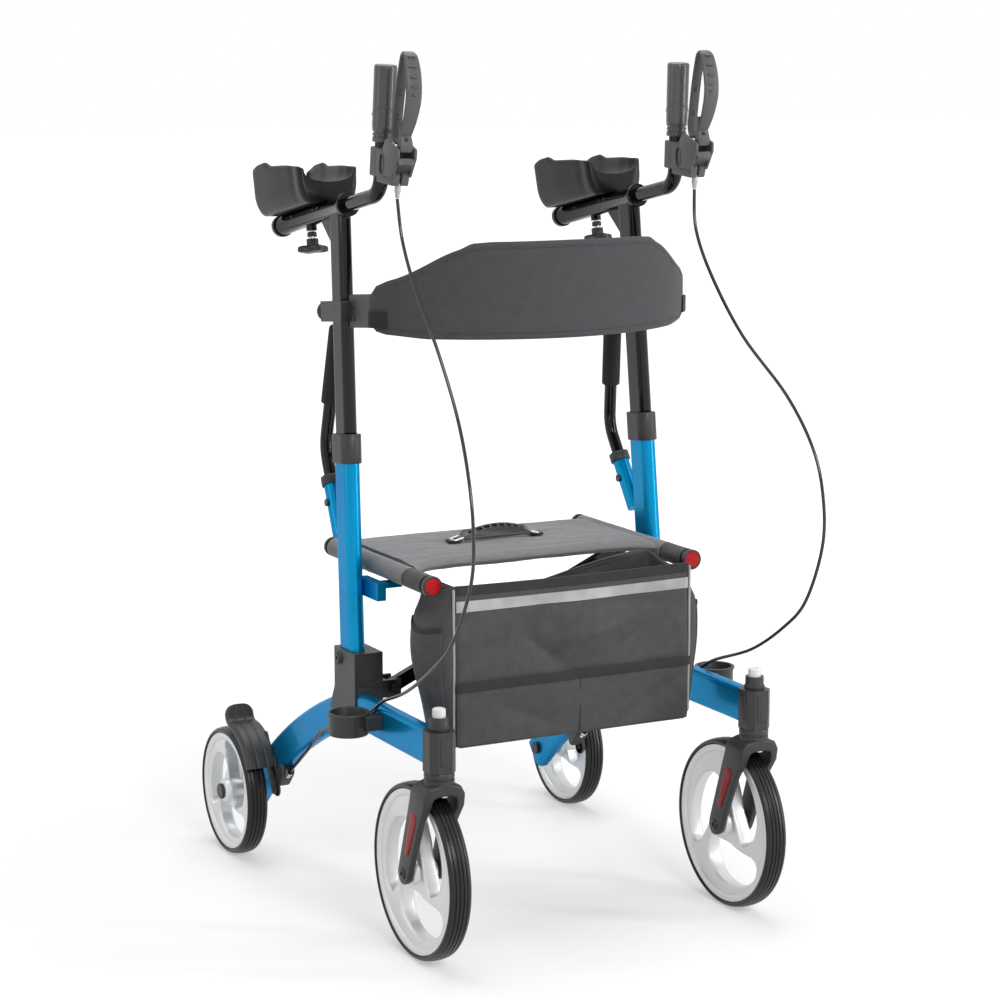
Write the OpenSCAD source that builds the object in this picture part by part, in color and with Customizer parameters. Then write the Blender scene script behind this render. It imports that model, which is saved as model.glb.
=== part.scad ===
// Upright walker: a side-folding rollator with forearm troughs, a sling seat, a bag and a back band.
// Millimetres. +X is the walker's left, the front faces -Y and +Z is up.
// The origin lies on the floor, in the middle of the wheels' footprint.

/* [Wheels] */
// Diameter of the front wheels
front_wheel_d = 254; // [220:1:280]
// Diameter of the rear wheels
rear_wheel_d = 203; // [180:1:220]
// Width of every tyre
tyre_w = 34; // [28:1:38]
// Thickness of the tyre between rim and tread
tyre_t = 9; // [7:0.5:12]
// Distance between the front and rear axles
wheelbase = 589; // [570:1:640]
// Diameter of the wheel axles
axle_d = 12; // [10:0.5:14]
// Distance of the front axle behind the caster stem
caster_trail = 57; // [48:1:62]
// Gap between the lower rail and the rear tyre
rear_wheel_gap = 16; // [15:1:20]

/* [Side frames] */
// Sideways place of the two side frames at the lower rail
side_x = 257; // [245:1:280]
// Height of the lower rail's section
rail_h = 52; // [48:1:56]
// Width of the lower rail's section
rail_w = 24; // [23:1:25]
// Wall of the lower rail
rail_wall = 2.5; // [2:0.1:3.5]
// Place of the upright's foot along Y
foot_y = -57.5; // [-70:0.5:-50]
// Backward lean of the uprights in degrees
lean_back = 5.3; // [4:0.1:6.5]
// Inward lean of the uprights in degrees
lean_in = 1.25; // [0.5:0.05:1.6]
// Length of the upright's flat-oval section
upright_l = 50; // [46:0.5:54]
// Width of the upright's flat-oval section
upright_w = 25; // [23:0.5:27]
// Wall of the uprights
upright_wall = 2; // [1.6:0.1:2.4]
// Distance of the upright's upper end from the rail's middle line
upright_top = 394; // [380:1:410]

/* [Arms] */
// Distance of the arm tube from the rail's middle line, along the upright
arm_rise = 728; // [715:1:745]
// Backward droop of the arm tube against the upright in degrees
arm_droop = 5.6; // [5:0.1:6.2]
// Outer diameter of the arm tube
arm_tube_d = 28; // [26:0.5:30]
// Length of the arm tube behind the post
arm_back = 220; // [212:1:235]
// Length of the arm tube in front of the post
arm_front = 30; // [26:1:36]
// Distance of the hand grip's corner in front of the post
handle_reach = 139; // [130:1:145]
// Angle between the handle tube's two legs in degrees
handle_bend = 75; // [70:1:80]
// Outer diameter of the handle tube
handle_d = 22; // [20:0.5:23]
// Length of the hand grip
grip_l = 107; // [100:1:115]
// Diameter of the hand grip
grip_d = 32; // [28:0.5:34]
// Length of the forearm pad
pad_l = 170; // [155:1:180]
// Width of the forearm pad
pad_w = 102; // [94:1:108]

/* [Seat and brace] */
// Distance of the seat rails inboard of the side frames
seat_rail_in = 43.4; // [42:0.2:46]
// Height of the seat rails above the lower rail
seat_rise = 206; // [196:1:215]
// Outer diameter of the seat rails
seat_rail_d = 25.4; // [22:0.2:27]
// Length of the seat rails
seat_rail_l = 328; // [310:1:345]
// Front end of the seat rails along Y
seat_rail_y = -224; // [-232:1:-215]
// Distance of the lower brace pivots inboard of the side frames
pivot_in = 61; // [56:1:66]
// Height of the lower brace pivots above the lower rail
pivot_rise = 22; // [16:1:28]
// Depth of the brace bars
bar_h = 20; // [16:0.5:22]
// Thickness of the brace bars
bar_t = 12; // [9:0.5:13]
// Depth of the seat fabric from front to back
seat_depth = 222; // [205:1:224]

/* [Bag and back band] */
// Width of the bag
bag_w = 392; // [360:1:394]
// Height of the bag
bag_h = 226; // [190:1:228]
// Depth of the bag at its mouth
bag_depth = 124; // [105:1:130]
// Place of the bag's front along Y
bag_y = -262; // [-270:1:-256]
// Height of the back band at its middle
band_h = 138; // [128:1:146]
// Thickness of the back band
band_t = 9; // [6:0.5:12]
// Half of the back band's width
band_half = 258; // [252:1:262]
// Front of the back band along Y
band_y = -252; // [-258:1:-246]
// Forward bow of the back band
band_bow = 133; // [128:1:138]
// Distance of the back clamps from the lower rail, along the upright
clamp_rise = 578; // [565:1:590]

/* [Hidden] */
$fn = 64;
left = 1;
right = -1;
// Overrun of every cut
over = 1;
// Gap between pieces that slide or lie loosely on each other
slide_gap = 0.3;
// Gap between a fixed cap or bolt head and its seat
seat_gap = 0.12;
// Radial gap of a shaft in its bearing
run_fit = 0.05;
// Loss of a tube's section, on each face, where it is bent
bend_thin = 0.12;
// Overlap of two bends that meet, in degrees
lap_turn = 0.35;
// How far a bar's flanks run inside its round ends
bar_tuck_share = 0.995;

// Wheels and caster
front_axle_y = -(wheelbase + rear_wheel_d / 2 + front_wheel_d / 2) / 2 + front_wheel_d / 2;
rear_axle_y = front_axle_y + wheelbase;
rear_wheel_x = side_x + rail_w / 2 + rear_wheel_gap + tyre_w / 2;
stem_y = front_axle_y - caster_trail;
stem_d = 16;
crown_half = 21;
crown_back = 30;
crown_gap = 1.7;
crown_t = 18;
neck_d = 43;
neck_h = 14.7;
blade_gap = 4;
blade_t = 9;
blade_top_r = 22;
blade_axle_r = 16;
blade_back = 8;
fork_half = tyre_w / 2 + blade_gap + blade_t;
tyre_reach = caster_trail - crown_back;
front_r = front_wheel_d / 2;
crown_z = front_r + sqrt(front_r * front_r - tyre_reach * tyre_reach) + crown_gap;
neck_z = crown_z + crown_t;
housing_z = neck_z + neck_h + slide_gap;
housing_h = 58;
housing_w = 40;
housing_chamfer = 9;
cap_d = 27;
cap_h = 19;
button_d = 19;
button_rise = 12;
button_in = 8;
button_travel = 4;
tyre_round = 9;
groove_w = 2.4;
groove_d = 1.6;
groove_pitch = 7;
rim_lip = 9;
hub_r = 19;
rim_web = 18;
rim_proud = 3;
rim_l = tyre_w + 2 * rim_proud;
swirl_place_shares = [0.44, 0.567, 0.742];
swirl_size_shares = [0.21, 0.22, 0.127];
swirl_turns = [25, -22, -52];
axle_head_d = 20;
axle_head_h = 5;

// Lower rail
rail_z = housing_z + housing_h / 2;
rail_round_share = 0.34;
rail_round = rail_round_share * rail_w;
rail_front = stem_y + housing_w / 2;
bend_lead = 56;
bend_start = foot_y - bend_lead;
bend_r = 270;
bend_turn = 20;
rail_tail = 20;
bend_end_y = bend_start + bend_r * sin(bend_turn);
bend_end_z = rail_z - bend_r * (1 - cos(bend_turn));
chord_y = rear_axle_y - bend_end_y;
chord_z = bend_end_z - rear_wheel_d / 2;
arch_half = atan2(chord_z, chord_y) - bend_turn;
arch_r = norm([chord_y, chord_z]) / 2 / sin(arch_half);

// Hub and brace pivots
hub_in = 31;
hub_out = 14;
hub_top = 85;
hub_low = 12;
hub_front = 34;
hub_back = 38;
hub_flare = 18;
hub_bolt_d = 13;
hub_bolt_h = 3;
hub_bolt_in = 18;
hub_bolt_down = 15;
lug_half = 20;
lug_h = 13;
lug_reach = 11;
lug_slot = 14;
brace_y = -47;
pin_d = 10;
pin_head_d = 17;
pin_head_h = 6;
pivot_x = side_x - pivot_in;
pivot_z = rail_z + pivot_rise;
seat_x = side_x - seat_rail_in;
seat_z = rail_z + seat_rise;
brace_turn = atan2(seat_z - pivot_z, seat_x + pivot_x);
low_arm = pivot_x / cos(brace_turn);
bar_gap = 1;
bar_y = (bar_t + 2 * bar_gap) / 2;
rail_cap_d = 29;
rail_cap_h = 8;
rail_plug_h = 12;
seat_rail_wall = 2;
cross_z = pivot_z + low_arm * sin(brace_turn);

// Upright, its bracket and collars
upright_sit = 5;
upright_low = rail_h / 2 + upright_sit;
post_l = upright_l - 2 * upright_wall - 2 * slide_gap;
post_w = upright_w - 2 * upright_wall - 2 * slide_gap;
post_wall = 2;
post_low = 205;
collar_h = 43;
collar_wall = 3.5;
collar_rise = 6;
sleeve_t = 1.6;
sleeve_gap = 0.3;
bracket_t = 13.5;
bracket_l = 64;
bracket_h = 34;
bracket_ahead = 54;
bracket_y = foot_y - bracket_ahead;
bracket_gap = 3;
bracket_x = seat_x + seat_rail_d / 2 + bracket_gap;
rest_z = seat_z - seat_rail_d / 2 - sleeve_t - 2 * sleeve_gap;
foot_w = 20;
foot_t = 8;
foot_reach = 26;
push_behind = 80;
push_rise = 290;
push_inset = 9;
push_y = foot_y + push_behind;
push_z = rail_z + push_rise;
push_x = side_x - push_inset;
push_lean = 30;
push_in = 3.5;
push_tube_d = 19;
push_stub_d = 25;
push_stub_up = 34;
push_stub_down = 52;
push_depth = 24;
push_collar_d = 31;
push_collar_h = 14;
push_straight = 68;
push_bend_r = 60;
push_bend = 38.7;
push_leg = 46;
push_grip_d = 28;
push_grip_l = 118;
push_bolt_d = 6;
push_bolt_head_d = 11;
push_bolt_head_h = 3;

// Arm post, arm tube and pad
ring_d = 35;
ring_l = 11;
arm_cap_d = 33;
arm_cap_l = 9;
gusset_l = 52;
gusset_h = 46;
gusset_t = 6;
knob_y = 107;
knob_boss_d = 16;
knob_boss_h = 7;
knob_stem_d = 8;
knob_collar_d = 15;
knob_collar_h = 9;
knob_z = 41;
knob_h = 12;
knob_core_r = 14;
knob_lobe_r = 8;
knob_lobe_place = 16;
pad_y = 32;
pad_z = 12;
pad_trough_r = 41;
pad_floor = 26;
pad_foot_share = 0.7;
pad_flank = 34;
pad_front_h = 56;
pad_mid_h = 69;
pad_hump_h = 76;
pad_rear_h = 72;
pad_profile_shares = [0.06, 0.61, 0.74, 0.86, 1, 0.93];

// Handle tube, lever and its bracket
corner_r = 32;
corner_run = corner_r * tan(handle_bend / 2);
handle_in = 128;
bracket_skip = 1;
bracket_low = corner_run + bracket_skip;
bracket_tall = 40;
clamp_half = 14;
clamp_back = 13;
cheek_t = 4;
cheek_gap = 0.4;
cheek_drop = 12;
cheek_shoulder = 12;
cheek_peak_y = 36;
cheek_peak_z = 82;
cheek_reach = 81;
cheek_front_z = 78;
cheek_nose_z = 62;
cheek_foot_y = 62;
stop_front = 66;
stop_back = 24;
stop_low = 18;
grip_skip = 7;
grip_low = bracket_low + bracket_tall + grip_skip;
ferrule_y = 55;
ferrule_d = 9;
ferrule_l = 17;
lever_w = 21;
lever_t = 5;
lever_pivot_y = 73;
lever_pivot_z = 73;
lever_top_y = 69;
lever_top_z = 191;
lever_top_r = 12;
lever_mid_y = 71;
lever_mid_z = 146;
lever_mid_r = 25;
lever_low_y = 56;
lever_low_z = 90;
lever_low_r = 15;
lever_root_r = 9;
lever_pin_d = 6;

// Back clamp and band
clamp_wall = 6;
clamp_h = 30;
clamp_rear = 44;
plate_t = 6;
plate_h = 48;
back_stem_d = 8;
back_neck_d = 13;
back_neck_l = 9;
back_knob_d = 30;
back_knob_l = 13;
strap_w = 24;
strap_t = 3;
band_edge_h = 68;
band_drop = 26;
band_peak_share = 0.54;
band_edge_share = 0.968;
band_low_share = 0.76;
band_low_rise = 6;

// Seat, carry handle and bag
seat_t = 17;
seat_lift = 6;
seat_crown = 1;
seat_behind = 102;
seat_y = seat_rail_y + seat_behind;
seat_flare = 36;
sleeve_front = 64;
bar_clear = 1.2;
seat_cols = 24;
seat_rows = 16;
carry_l = 126;
carry_rise = 19;
carry_w = 22;
carry_t = 4;
carry_tab = 16;
carry_tab_w = 25;
carry_y = -10;
bag_hang = 6;
bag_z = seat_z - bag_hang;
bag_slant = 12;
bag_wall = 3;
bag_foot_depth = 98;
bag_loop_l = 54;
bag_loop_in = 6;
bag_loop_y = seat_rail_y + bag_loop_in;
bag_tab_h = 24;

// Fender, brake and cane holder
fender_ahead = 16;
fender_lift = 28.6;
fender_tuck = 19.5;
fender_r = rear_wheel_d / 2 - fender_tuck;
fender_t = 4;
fender_w = 47;
fender_low_turn = 19.7;
fender_turn = 70;
lip_r = 10;
lip_turn = 75;
tongue_l = 24;
tongue_run = 6;
tongue_round = 11;
stay_t = 3.6;
stay_arm_r = 6;
stay_turns = [26, 58];
brake_tuck = 0.5;
brake_ahead = rear_wheel_d / 2 - brake_tuck;
brake_lift = 22.5;
brake_y = rear_axle_y - brake_ahead;
brake_z = rear_wheel_d / 2 + brake_lift;
brake_pin_d = 6;
brake_boss_r = 12;
brake_arm_t = 4;
brake_arm_r = 8;
brake_body_r = 10;
brake_body_y = -17;
brake_body_z = 32;
shoe_gap = 3.5;
shoe_t = 5;
shoe_low_turn = 44;
shoe_turn = 20;
shoe_inset = 5;
adjuster_d = 10;
adjuster_l = 18;
adjuster_turn = 37;
adjuster_ahead = 32.25;
adjuster_lift = 34;
adjuster_y = brake_y - adjuster_ahead;
adjuster_z = brake_z + adjuster_lift;
adjuster_x = 262;
holder_d = 57;
holder_h = 33;
holder_wall = 2.6;
holder_ledge = 5.2;
holder_lip = 2;
holder_lip_h = 4;
holder_gap = 10;
holder_y = -149;
holder_z = 333;
holder_floor = 4;
holder_clip_l = 12;
holder_clip_h = 20;
holder_clip_t = 26;
stay_x = side_x + rail_w / 2 + slide_gap;

// Brake cable: its diameter and the left-hand route from the lever bracket to the adjuster
cable_d = 5;
cable_seat = 0.8;
cable_sides = 8;
cable_route = [[238, -192, 1004], [239, -235, 940], [243, -314, 860], [260, -405, 783],
    [271, -458, 712], [275, -479, 645], [277, -476, 575], [281, -432, 490], [283, -374, 440],
    [283, -290, 390], [276, -200, 356], [273, -160, 334], [273, -90, 297], [273, -30, 282],
    [273, 25, 260], [272, 55, 236], [266, 95, 212]];
cable_steps = 2;

// Places a left-hand piece on its side
module on_side(side) mirror([side == right ? 1 : 0, 0, 0]) children();

// The upright's own frame: Z runs up the tube, Y to the rear, X outboard
module on_upright(side) on_side(side) translate([side_x, foot_y, rail_z])
    rotate([-lean_back, -lean_in, 0]) children();

// The arm tube's frame: Y runs to the rear along the tube
module on_arm(side) on_upright(side) translate([0, 0, arm_rise]) rotate([-arm_droop, 0, 0]) children();

// The hand grip's frame: Z runs up the grip from the tube's corner
module on_handle(side) on_arm(side) translate([0, -handle_reach, 0]) rotate([90 - handle_bend, 0, 0])
    children();

// The push handle's frame: Z runs up its stub
module on_push(side) on_side(side) translate([push_x, push_y, push_z]) rotate([-push_lean, -push_in, 0])
    children();

// A point of the upright's frame in the walker's frame, on the left
function from_upright(p) = let (
        y = p.y * cos(lean_back) + p.z * sin(lean_back),
        z = p.z * cos(lean_back) - p.y * sin(lean_back))
    [side_x + p.x * cos(lean_in) - z * sin(lean_in), foot_y + y,
        rail_z + p.x * sin(lean_in) + z * cos(lean_in)];
function from_arm(p) = from_upright([p.x, p.y * cos(arm_droop) + p.z * sin(arm_droop),
    arm_rise + p.z * cos(arm_droop) - p.y * sin(arm_droop)]);
function from_handle(p) = let (a = 90 - handle_bend)
    from_arm([p.x, p.y * cos(a) - p.z * sin(a) - handle_reach, p.y * sin(a) + p.z * cos(a)]);

// Flat shapes
module stadium(length, width) {
    square([width, length - width], center = true);
    for (end = [-1, 1]) translate([0, end * (length - width) / 2]) circle(d = width);
}
module rounded_rect(x, y, r) {
    square([x - 2 * r, y], center = true);
    square([x, y - 2 * r], center = true);
    for (sx = [-1, 1], sy = [-1, 1]) translate([sx * (x / 2 - r), sy * (y / 2 - r)]) circle(r);
}
module chamfered_rect(x, y, c) polygon([[x / 2 - c, -y / 2], [x / 2, c - y / 2], [x / 2, y / 2 - c],
    [x / 2 - c, y / 2], [c - x / 2, y / 2], [-x / 2, y / 2 - c], [-x / 2, c - y / 2], [c - x / 2, -y / 2]]);
// A tapered bar with round ends, from point a with radius ra to point b with radius rb
module tapered_bar(a, b, ra, rb) {
    d = norm(b - a);
    lean = acos((ra - rb) / d);
    translate(a) rotate(atan2(b.y - a.y, b.x - a.x)) {
        circle(ra);
        translate([d, 0]) circle(rb);
        up = bar_tuck_share * [cos(lean), sin(lean)];
        down = bar_tuck_share * [cos(lean), -sin(lean)];
        polygon([ra * up, ra * down, [d, 0] + rb * down, [d, 0] + rb * up]);
    }
}

// Solids along the main directions
module along_x(x0, x1) translate([x0, 0, 0]) rotate([90, 0, 90]) linear_extrude(x1 - x0) children();
module along_y(y0, y1) translate([0, y1, 0]) rotate([90, 0, 0]) linear_extrude(y1 - y0) children();
module rod_x(d, x0, x1) translate([x0, 0, 0]) rotate([0, 90, 0]) cylinder(d = d, h = x1 - x0);
module rod_y(d, y0, y1) translate([0, y1, 0]) rotate([90, 0, 0]) cylinder(d = d, h = y1 - y0);
module rod_z(d, z0, z1) translate([0, 0, z0]) cylinder(d = d, h = z1 - z0);
module box(x0, x1, y0, y1, z0, z1) translate([x0, y0, z0]) cube([x1 - x0, y1 - y0, z1 - z0]);
// Bends a section downward as it runs to the rear, or upward as it runs to the front
module drop_bend(r, turn) translate([0, 0, -r]) rotate([0, -90, 0]) rotate_extrude(angle = turn)
    translate([r, 0]) children();
module rise_bend(r, turn) translate([0, 0, r]) rotate([0, 90, 180]) rotate_extrude(angle = turn)
    translate([r, 0]) children();

// Lower rail: level to the hub, then an arch down to the rear axle
module rail_section(grow, x, y) rounded_rect(x + 2 * grow, y + 2 * grow, rail_round + grow);
module rail_path(grow, extra) translate([side_x, bend_start, rail_z]) {
    along_y(rail_front - bend_start - extra, 0) rail_section(grow, rail_w, rail_h);
    drop_bend(bend_r, bend_turn) rail_section(grow - 2 * bend_thin, rail_h, rail_w);
    translate([0, bend_end_y - bend_start, bend_end_z - rail_z]) rotate([-bend_turn, 0, 0]) {
        along_y(-over, 0) rail_section(grow - bend_thin, rail_w, rail_h);
        drop_bend(arch_r, 2 * arch_half) rail_section(grow - bend_thin, rail_h, rail_w);
        translate([0, arch_r * sin(2 * arch_half), -arch_r * (1 - cos(2 * arch_half))])
            rotate([-2 * arch_half, 0, 0]) along_y(-over, rail_tail + extra)
                rail_section(grow, rail_w, rail_h);
    }
}
module lower_rail(side) color("deepskyblue") on_side(side) difference() {
    rail_path(0, 0);
    rail_path(-rail_wall, over);
    at_rear_axle() rod_x(axle_d + 2 * run_fit, -rear_wheel_x, rail_w);
}
module at_rear_axle() translate([side_x, rear_axle_y, rear_wheel_d / 2]) children();
module at_front_axle() translate([side_x, front_axle_y, front_r]) children();
module at_stem() translate([side_x, stem_y, 0]) children();

// Base hub: holds the upright on the rail and carries the lower brace pivot
module base_hub(side) color("dimgray") on_side(side) difference() {
    union() {
        translate([side_x, foot_y, rail_z]) along_x(-hub_in, hub_out)
            polygon([[-hub_front, hub_top], [hub_back, hub_top], [hub_back, hub_low + lug_h],
                [hub_back + hub_flare, -hub_low], [-hub_front, -hub_low]]);
        box(pivot_x - lug_reach, side_x - hub_in + over, brace_y - lug_half, brace_y + lug_half,
            pivot_z - lug_h, pivot_z + lug_h);
    }
    rail_path(slide_gap, over);
    on_upright(left) rod_shape(upright_l + 2 * slide_gap, upright_w + 2 * slide_gap, 0, arm_rise);
    box(0, pivot_x + bar_h / 2 + over, brace_y - lug_slot, brace_y + lug_slot, 0, arm_rise);
    translate([pivot_x, brace_y, pivot_z]) rod_y(pin_d + 2 * run_fit, -lug_half - over, lug_half + over);
}
module rod_shape(length, width, low, high) translate([0, 0, low]) linear_extrude(high - low)
    stadium(length, width);

// Upright: flat-oval tube with the welded seat bracket and the push handle's stub
module upright_tube(side) color("deepskyblue") difference() {
    union() {
        on_upright(side) rod_shape(upright_l, upright_w, upright_low, upright_top);
        on_side(side) seat_bracket();
        on_push(side) rod_z(push_stub_d, -push_stub_down, push_stub_up);
    }
    on_upright(side) rod_shape(upright_l - 2 * upright_wall, upright_w - 2 * upright_wall,
        upright_low - over, arm_rise);
    on_push(side) rod_z(push_tube_d + 2 * run_fit, -push_depth, push_stub_up + over);
    on_push(side) rod_x(push_bolt_d + 2 * run_fit, -push_stub_d, push_stub_d);
}
module seat_bracket() {
    box(bracket_x, bracket_x + bracket_t, bracket_y, bracket_y + bracket_l,
        rest_z - bracket_h + foot_t, rest_z);
    box(bracket_x - foot_reach, bracket_x + bracket_t, bracket_y, bracket_y + foot_w,
        rest_z - foot_t, rest_z);
}

// Plastic collars on the upright's end and on the push handle's stub
module frame_collars(side) color("dimgray") {
    on_upright(side) difference() {
        rod_shape(upright_l + 2 * collar_wall, upright_w + 2 * collar_wall,
            upright_top + collar_rise - collar_h, upright_top + collar_rise);
        rod_shape(upright_l + 2 * run_fit, upright_w + 2 * run_fit, 0, upright_top + slide_gap);
        rod_shape(post_l + 2 * slide_gap, post_w + 2 * slide_gap, 0, arm_rise);
    }
    on_push(side) difference() {
        rod_z(push_collar_d, push_stub_up - push_collar_h / 2, push_stub_up + push_collar_h / 2);
        rod_z(push_stub_d + 2 * run_fit, 0, push_stub_up + slide_gap);
        rod_z(push_tube_d + 2 * run_fit, 0, push_straight);
    }
}

// Push handle: tube bent forward above its stub, with a foam grip
module push_handle(side) color("black") on_push(side) {
    rod_z(push_tube_d, slide_gap - push_depth, push_straight);
    translate([0, -push_bend_r, push_straight]) rotate([90, 0, 90]) rotate_extrude(angle = push_bend)
        translate([push_bend_r, 0]) circle(d = push_tube_d - 2 * bend_thin);
    at_push_leg() rod_z(push_tube_d, -over, push_leg + push_grip_l - push_tube_d / 2 - slide_gap);
}
module at_push_leg() translate([0, -push_bend_r * (1 - cos(push_bend)),
    push_straight + push_bend_r * sin(push_bend)]) rotate([push_bend, 0, 0]) children();
module push_grip(side) color("black") on_push(side) at_push_leg() difference() {
    rod_z(push_grip_d, push_leg, push_leg + push_grip_l);
    rod_z(push_tube_d + 2 * run_fit, 0, push_leg + push_grip_l - push_tube_d / 2);
}

// Rear axle with its spacer, brace pin, hub bolt, push handle bolts and brake adjuster
axle_out = rear_wheel_x - side_x + rim_l / 2 + slide_gap;
module side_bolts(side) color("silver") {
    on_side(side) {
        at_rear_axle() {
            rod_x(axle_d, -rail_w / 2 - seat_gap - axle_head_h, axle_out + axle_head_h);
            rod_x(axle_head_d, -rail_w / 2 - seat_gap - axle_head_h, -rail_w / 2 - seat_gap);
            rod_x(axle_head_d, rail_w / 2 + seat_gap, rear_wheel_x - side_x - rim_l / 2 - slide_gap);
            rod_x(axle_head_d, axle_out, axle_out + axle_head_h);
        }
        translate([pivot_x, brace_y, pivot_z]) {
            rod_y(pin_d, -lug_half - seat_gap - pin_head_h, lug_half + seat_gap + pin_head_h);
            for (end = [0, 1]) mirror([0, end, 0])
                rod_y(pin_head_d, lug_half + seat_gap, lug_half + seat_gap + pin_head_h);
        }
        translate([side_x + hub_out, foot_y + hub_back - hub_bolt_in, rail_z + hub_top - hub_bolt_down])
            rod_x(hub_bolt_d, seat_gap, hub_bolt_h);
        translate([adjuster_x, adjuster_y, adjuster_z]) rotate([-90 - adjuster_turn, 0, 0])
            rod_z(adjuster_d, 0, adjuster_l);
    }
    on_push(side) for (end = [0, 1]) mirror([end, 0, 0])
        rod_x(push_bolt_head_d, push_stub_d / 2 + seat_gap, push_stub_d / 2 + push_bolt_head_h);
}

// Caster housing at the rail's front end, with the cap that holds the release button
module caster_housing(side) color("dimgray") on_side(side) at_stem() difference() {
    union() {
        translate([0, 0, housing_z]) linear_extrude(housing_h)
            chamfered_rect(housing_w, housing_w, housing_chamfer);
        rod_z(cap_d, housing_z + housing_h - over, housing_z + housing_h + cap_h);
    }
    rod_z(stem_d + 2 * run_fit, housing_z - over, housing_z + housing_h - button_in);
    rod_z(button_d + 2 * slide_gap, housing_z + housing_h + cap_h - button_in - button_travel,
        housing_z + housing_h + cap_h + over);
}
module release_button(side) color("white") on_side(side) at_stem()
    rod_z(button_d, housing_z + housing_h + cap_h - button_in, housing_z + housing_h + cap_h + button_rise);

// Caster fork: stem, neck ring, crown, two blades and the front axle
module caster_fork(side) color("dimgray") on_side(side) {
    difference() {
        union() {
            at_stem() {
                rod_z(stem_d, neck_z, housing_z + housing_h - button_in - over);
                rod_z(neck_d, neck_z - over, neck_z + neck_h);
                translate([0, (crown_back - crown_half) / 2, crown_z]) linear_extrude(crown_t)
                    rounded_rect(2 * fork_half, crown_half + crown_back, crown_half / 2);
            }
            for (sx = [-1, 1]) at_front_axle() translate([sx * (fork_half - blade_t / 2), 0, 0])
                along_x(-blade_t / 2, blade_t / 2) tapered_bar([blade_back - caster_trail,
                    neck_z - front_r - blade_top_r], [0, 0], blade_top_r, blade_axle_r);
        }
        at_front_axle() rod_x(axle_d + 2 * run_fit, -fork_half - over, fork_half + over);
    }
    at_front_axle() {
        rod_x(axle_d, -fork_half - seat_gap - axle_head_h, fork_half + seat_gap + axle_head_h);
        for (end = [0, 1]) mirror([end, 0, 0])
            rod_x(axle_head_d, fork_half + seat_gap, fork_half + seat_gap + axle_head_h);
    }
}

// Wheels: a rim with three swirling openings, and a grooved tyre
module rim(d, bore, length) {
    r = d / 2 - tyre_t;
    places = [for (k = [0 : 2]) r * swirl_place_shares[k] * [cos(swirl_turns[k]), sin(swirl_turns[k])]];
    sizes = r * swirl_size_shares;
    rotate([0, 90, 0]) difference() {
        union() {
            translate([0, 0, -tyre_w / 2 + groove_pitch / 2]) cylinder(r = r, h = tyre_w - groove_pitch);
            translate([0, 0, -length / 2]) cylinder(r = hub_r, h = length);
        }
        for (end = [0, 1]) mirror([0, 0, end]) translate([0, 0, rim_web / 2]) difference() {
            cylinder(r = r - rim_lip, h = tyre_w);
            cylinder(r = hub_r, h = length);
        }
        for (turn = [0 : 120 : 240], k = [0, 1]) rotate(turn) translate([0, 0, -length])
            linear_extrude(2 * length) tapered_bar(places[k], places[k + 1], sizes[k], sizes[k + 1]);
        translate([0, 0, -length]) cylinder(d = bore, h = 2 * length);
    }
}
module tyre(d) rotate([0, 90, 0]) rotate_extrude() difference() {
    translate([d / 2 - tyre_t - tyre_round, 0]) rounded_rect(2 * (tyre_t + tyre_round), tyre_w, tyre_round);
    translate([0, -tyre_w]) square([d / 2 - tyre_t + slide_gap, 2 * tyre_w]);
    for (k = [-1 : 1]) translate([d / 2, k * groove_pitch]) square([2 * groove_d, groove_w], center = true);
}
module front_rim(side) color("silver") on_side(side) at_front_axle()
    rim(front_wheel_d, axle_d + 2 * run_fit, tyre_w + blade_gap);
module front_tyre(side) color("black") on_side(side) at_front_axle() tyre(front_wheel_d);
module at_rear_wheel() translate([rear_wheel_x, rear_axle_y, rear_wheel_d / 2]) children();
module rear_rim(side) color("silver") on_side(side) at_rear_wheel()
    rim(rear_wheel_d, axle_d + 2 * run_fit, rim_l);
module rear_tyre(side) color("black") on_side(side) at_rear_wheel() tyre(rear_wheel_d);

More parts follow.
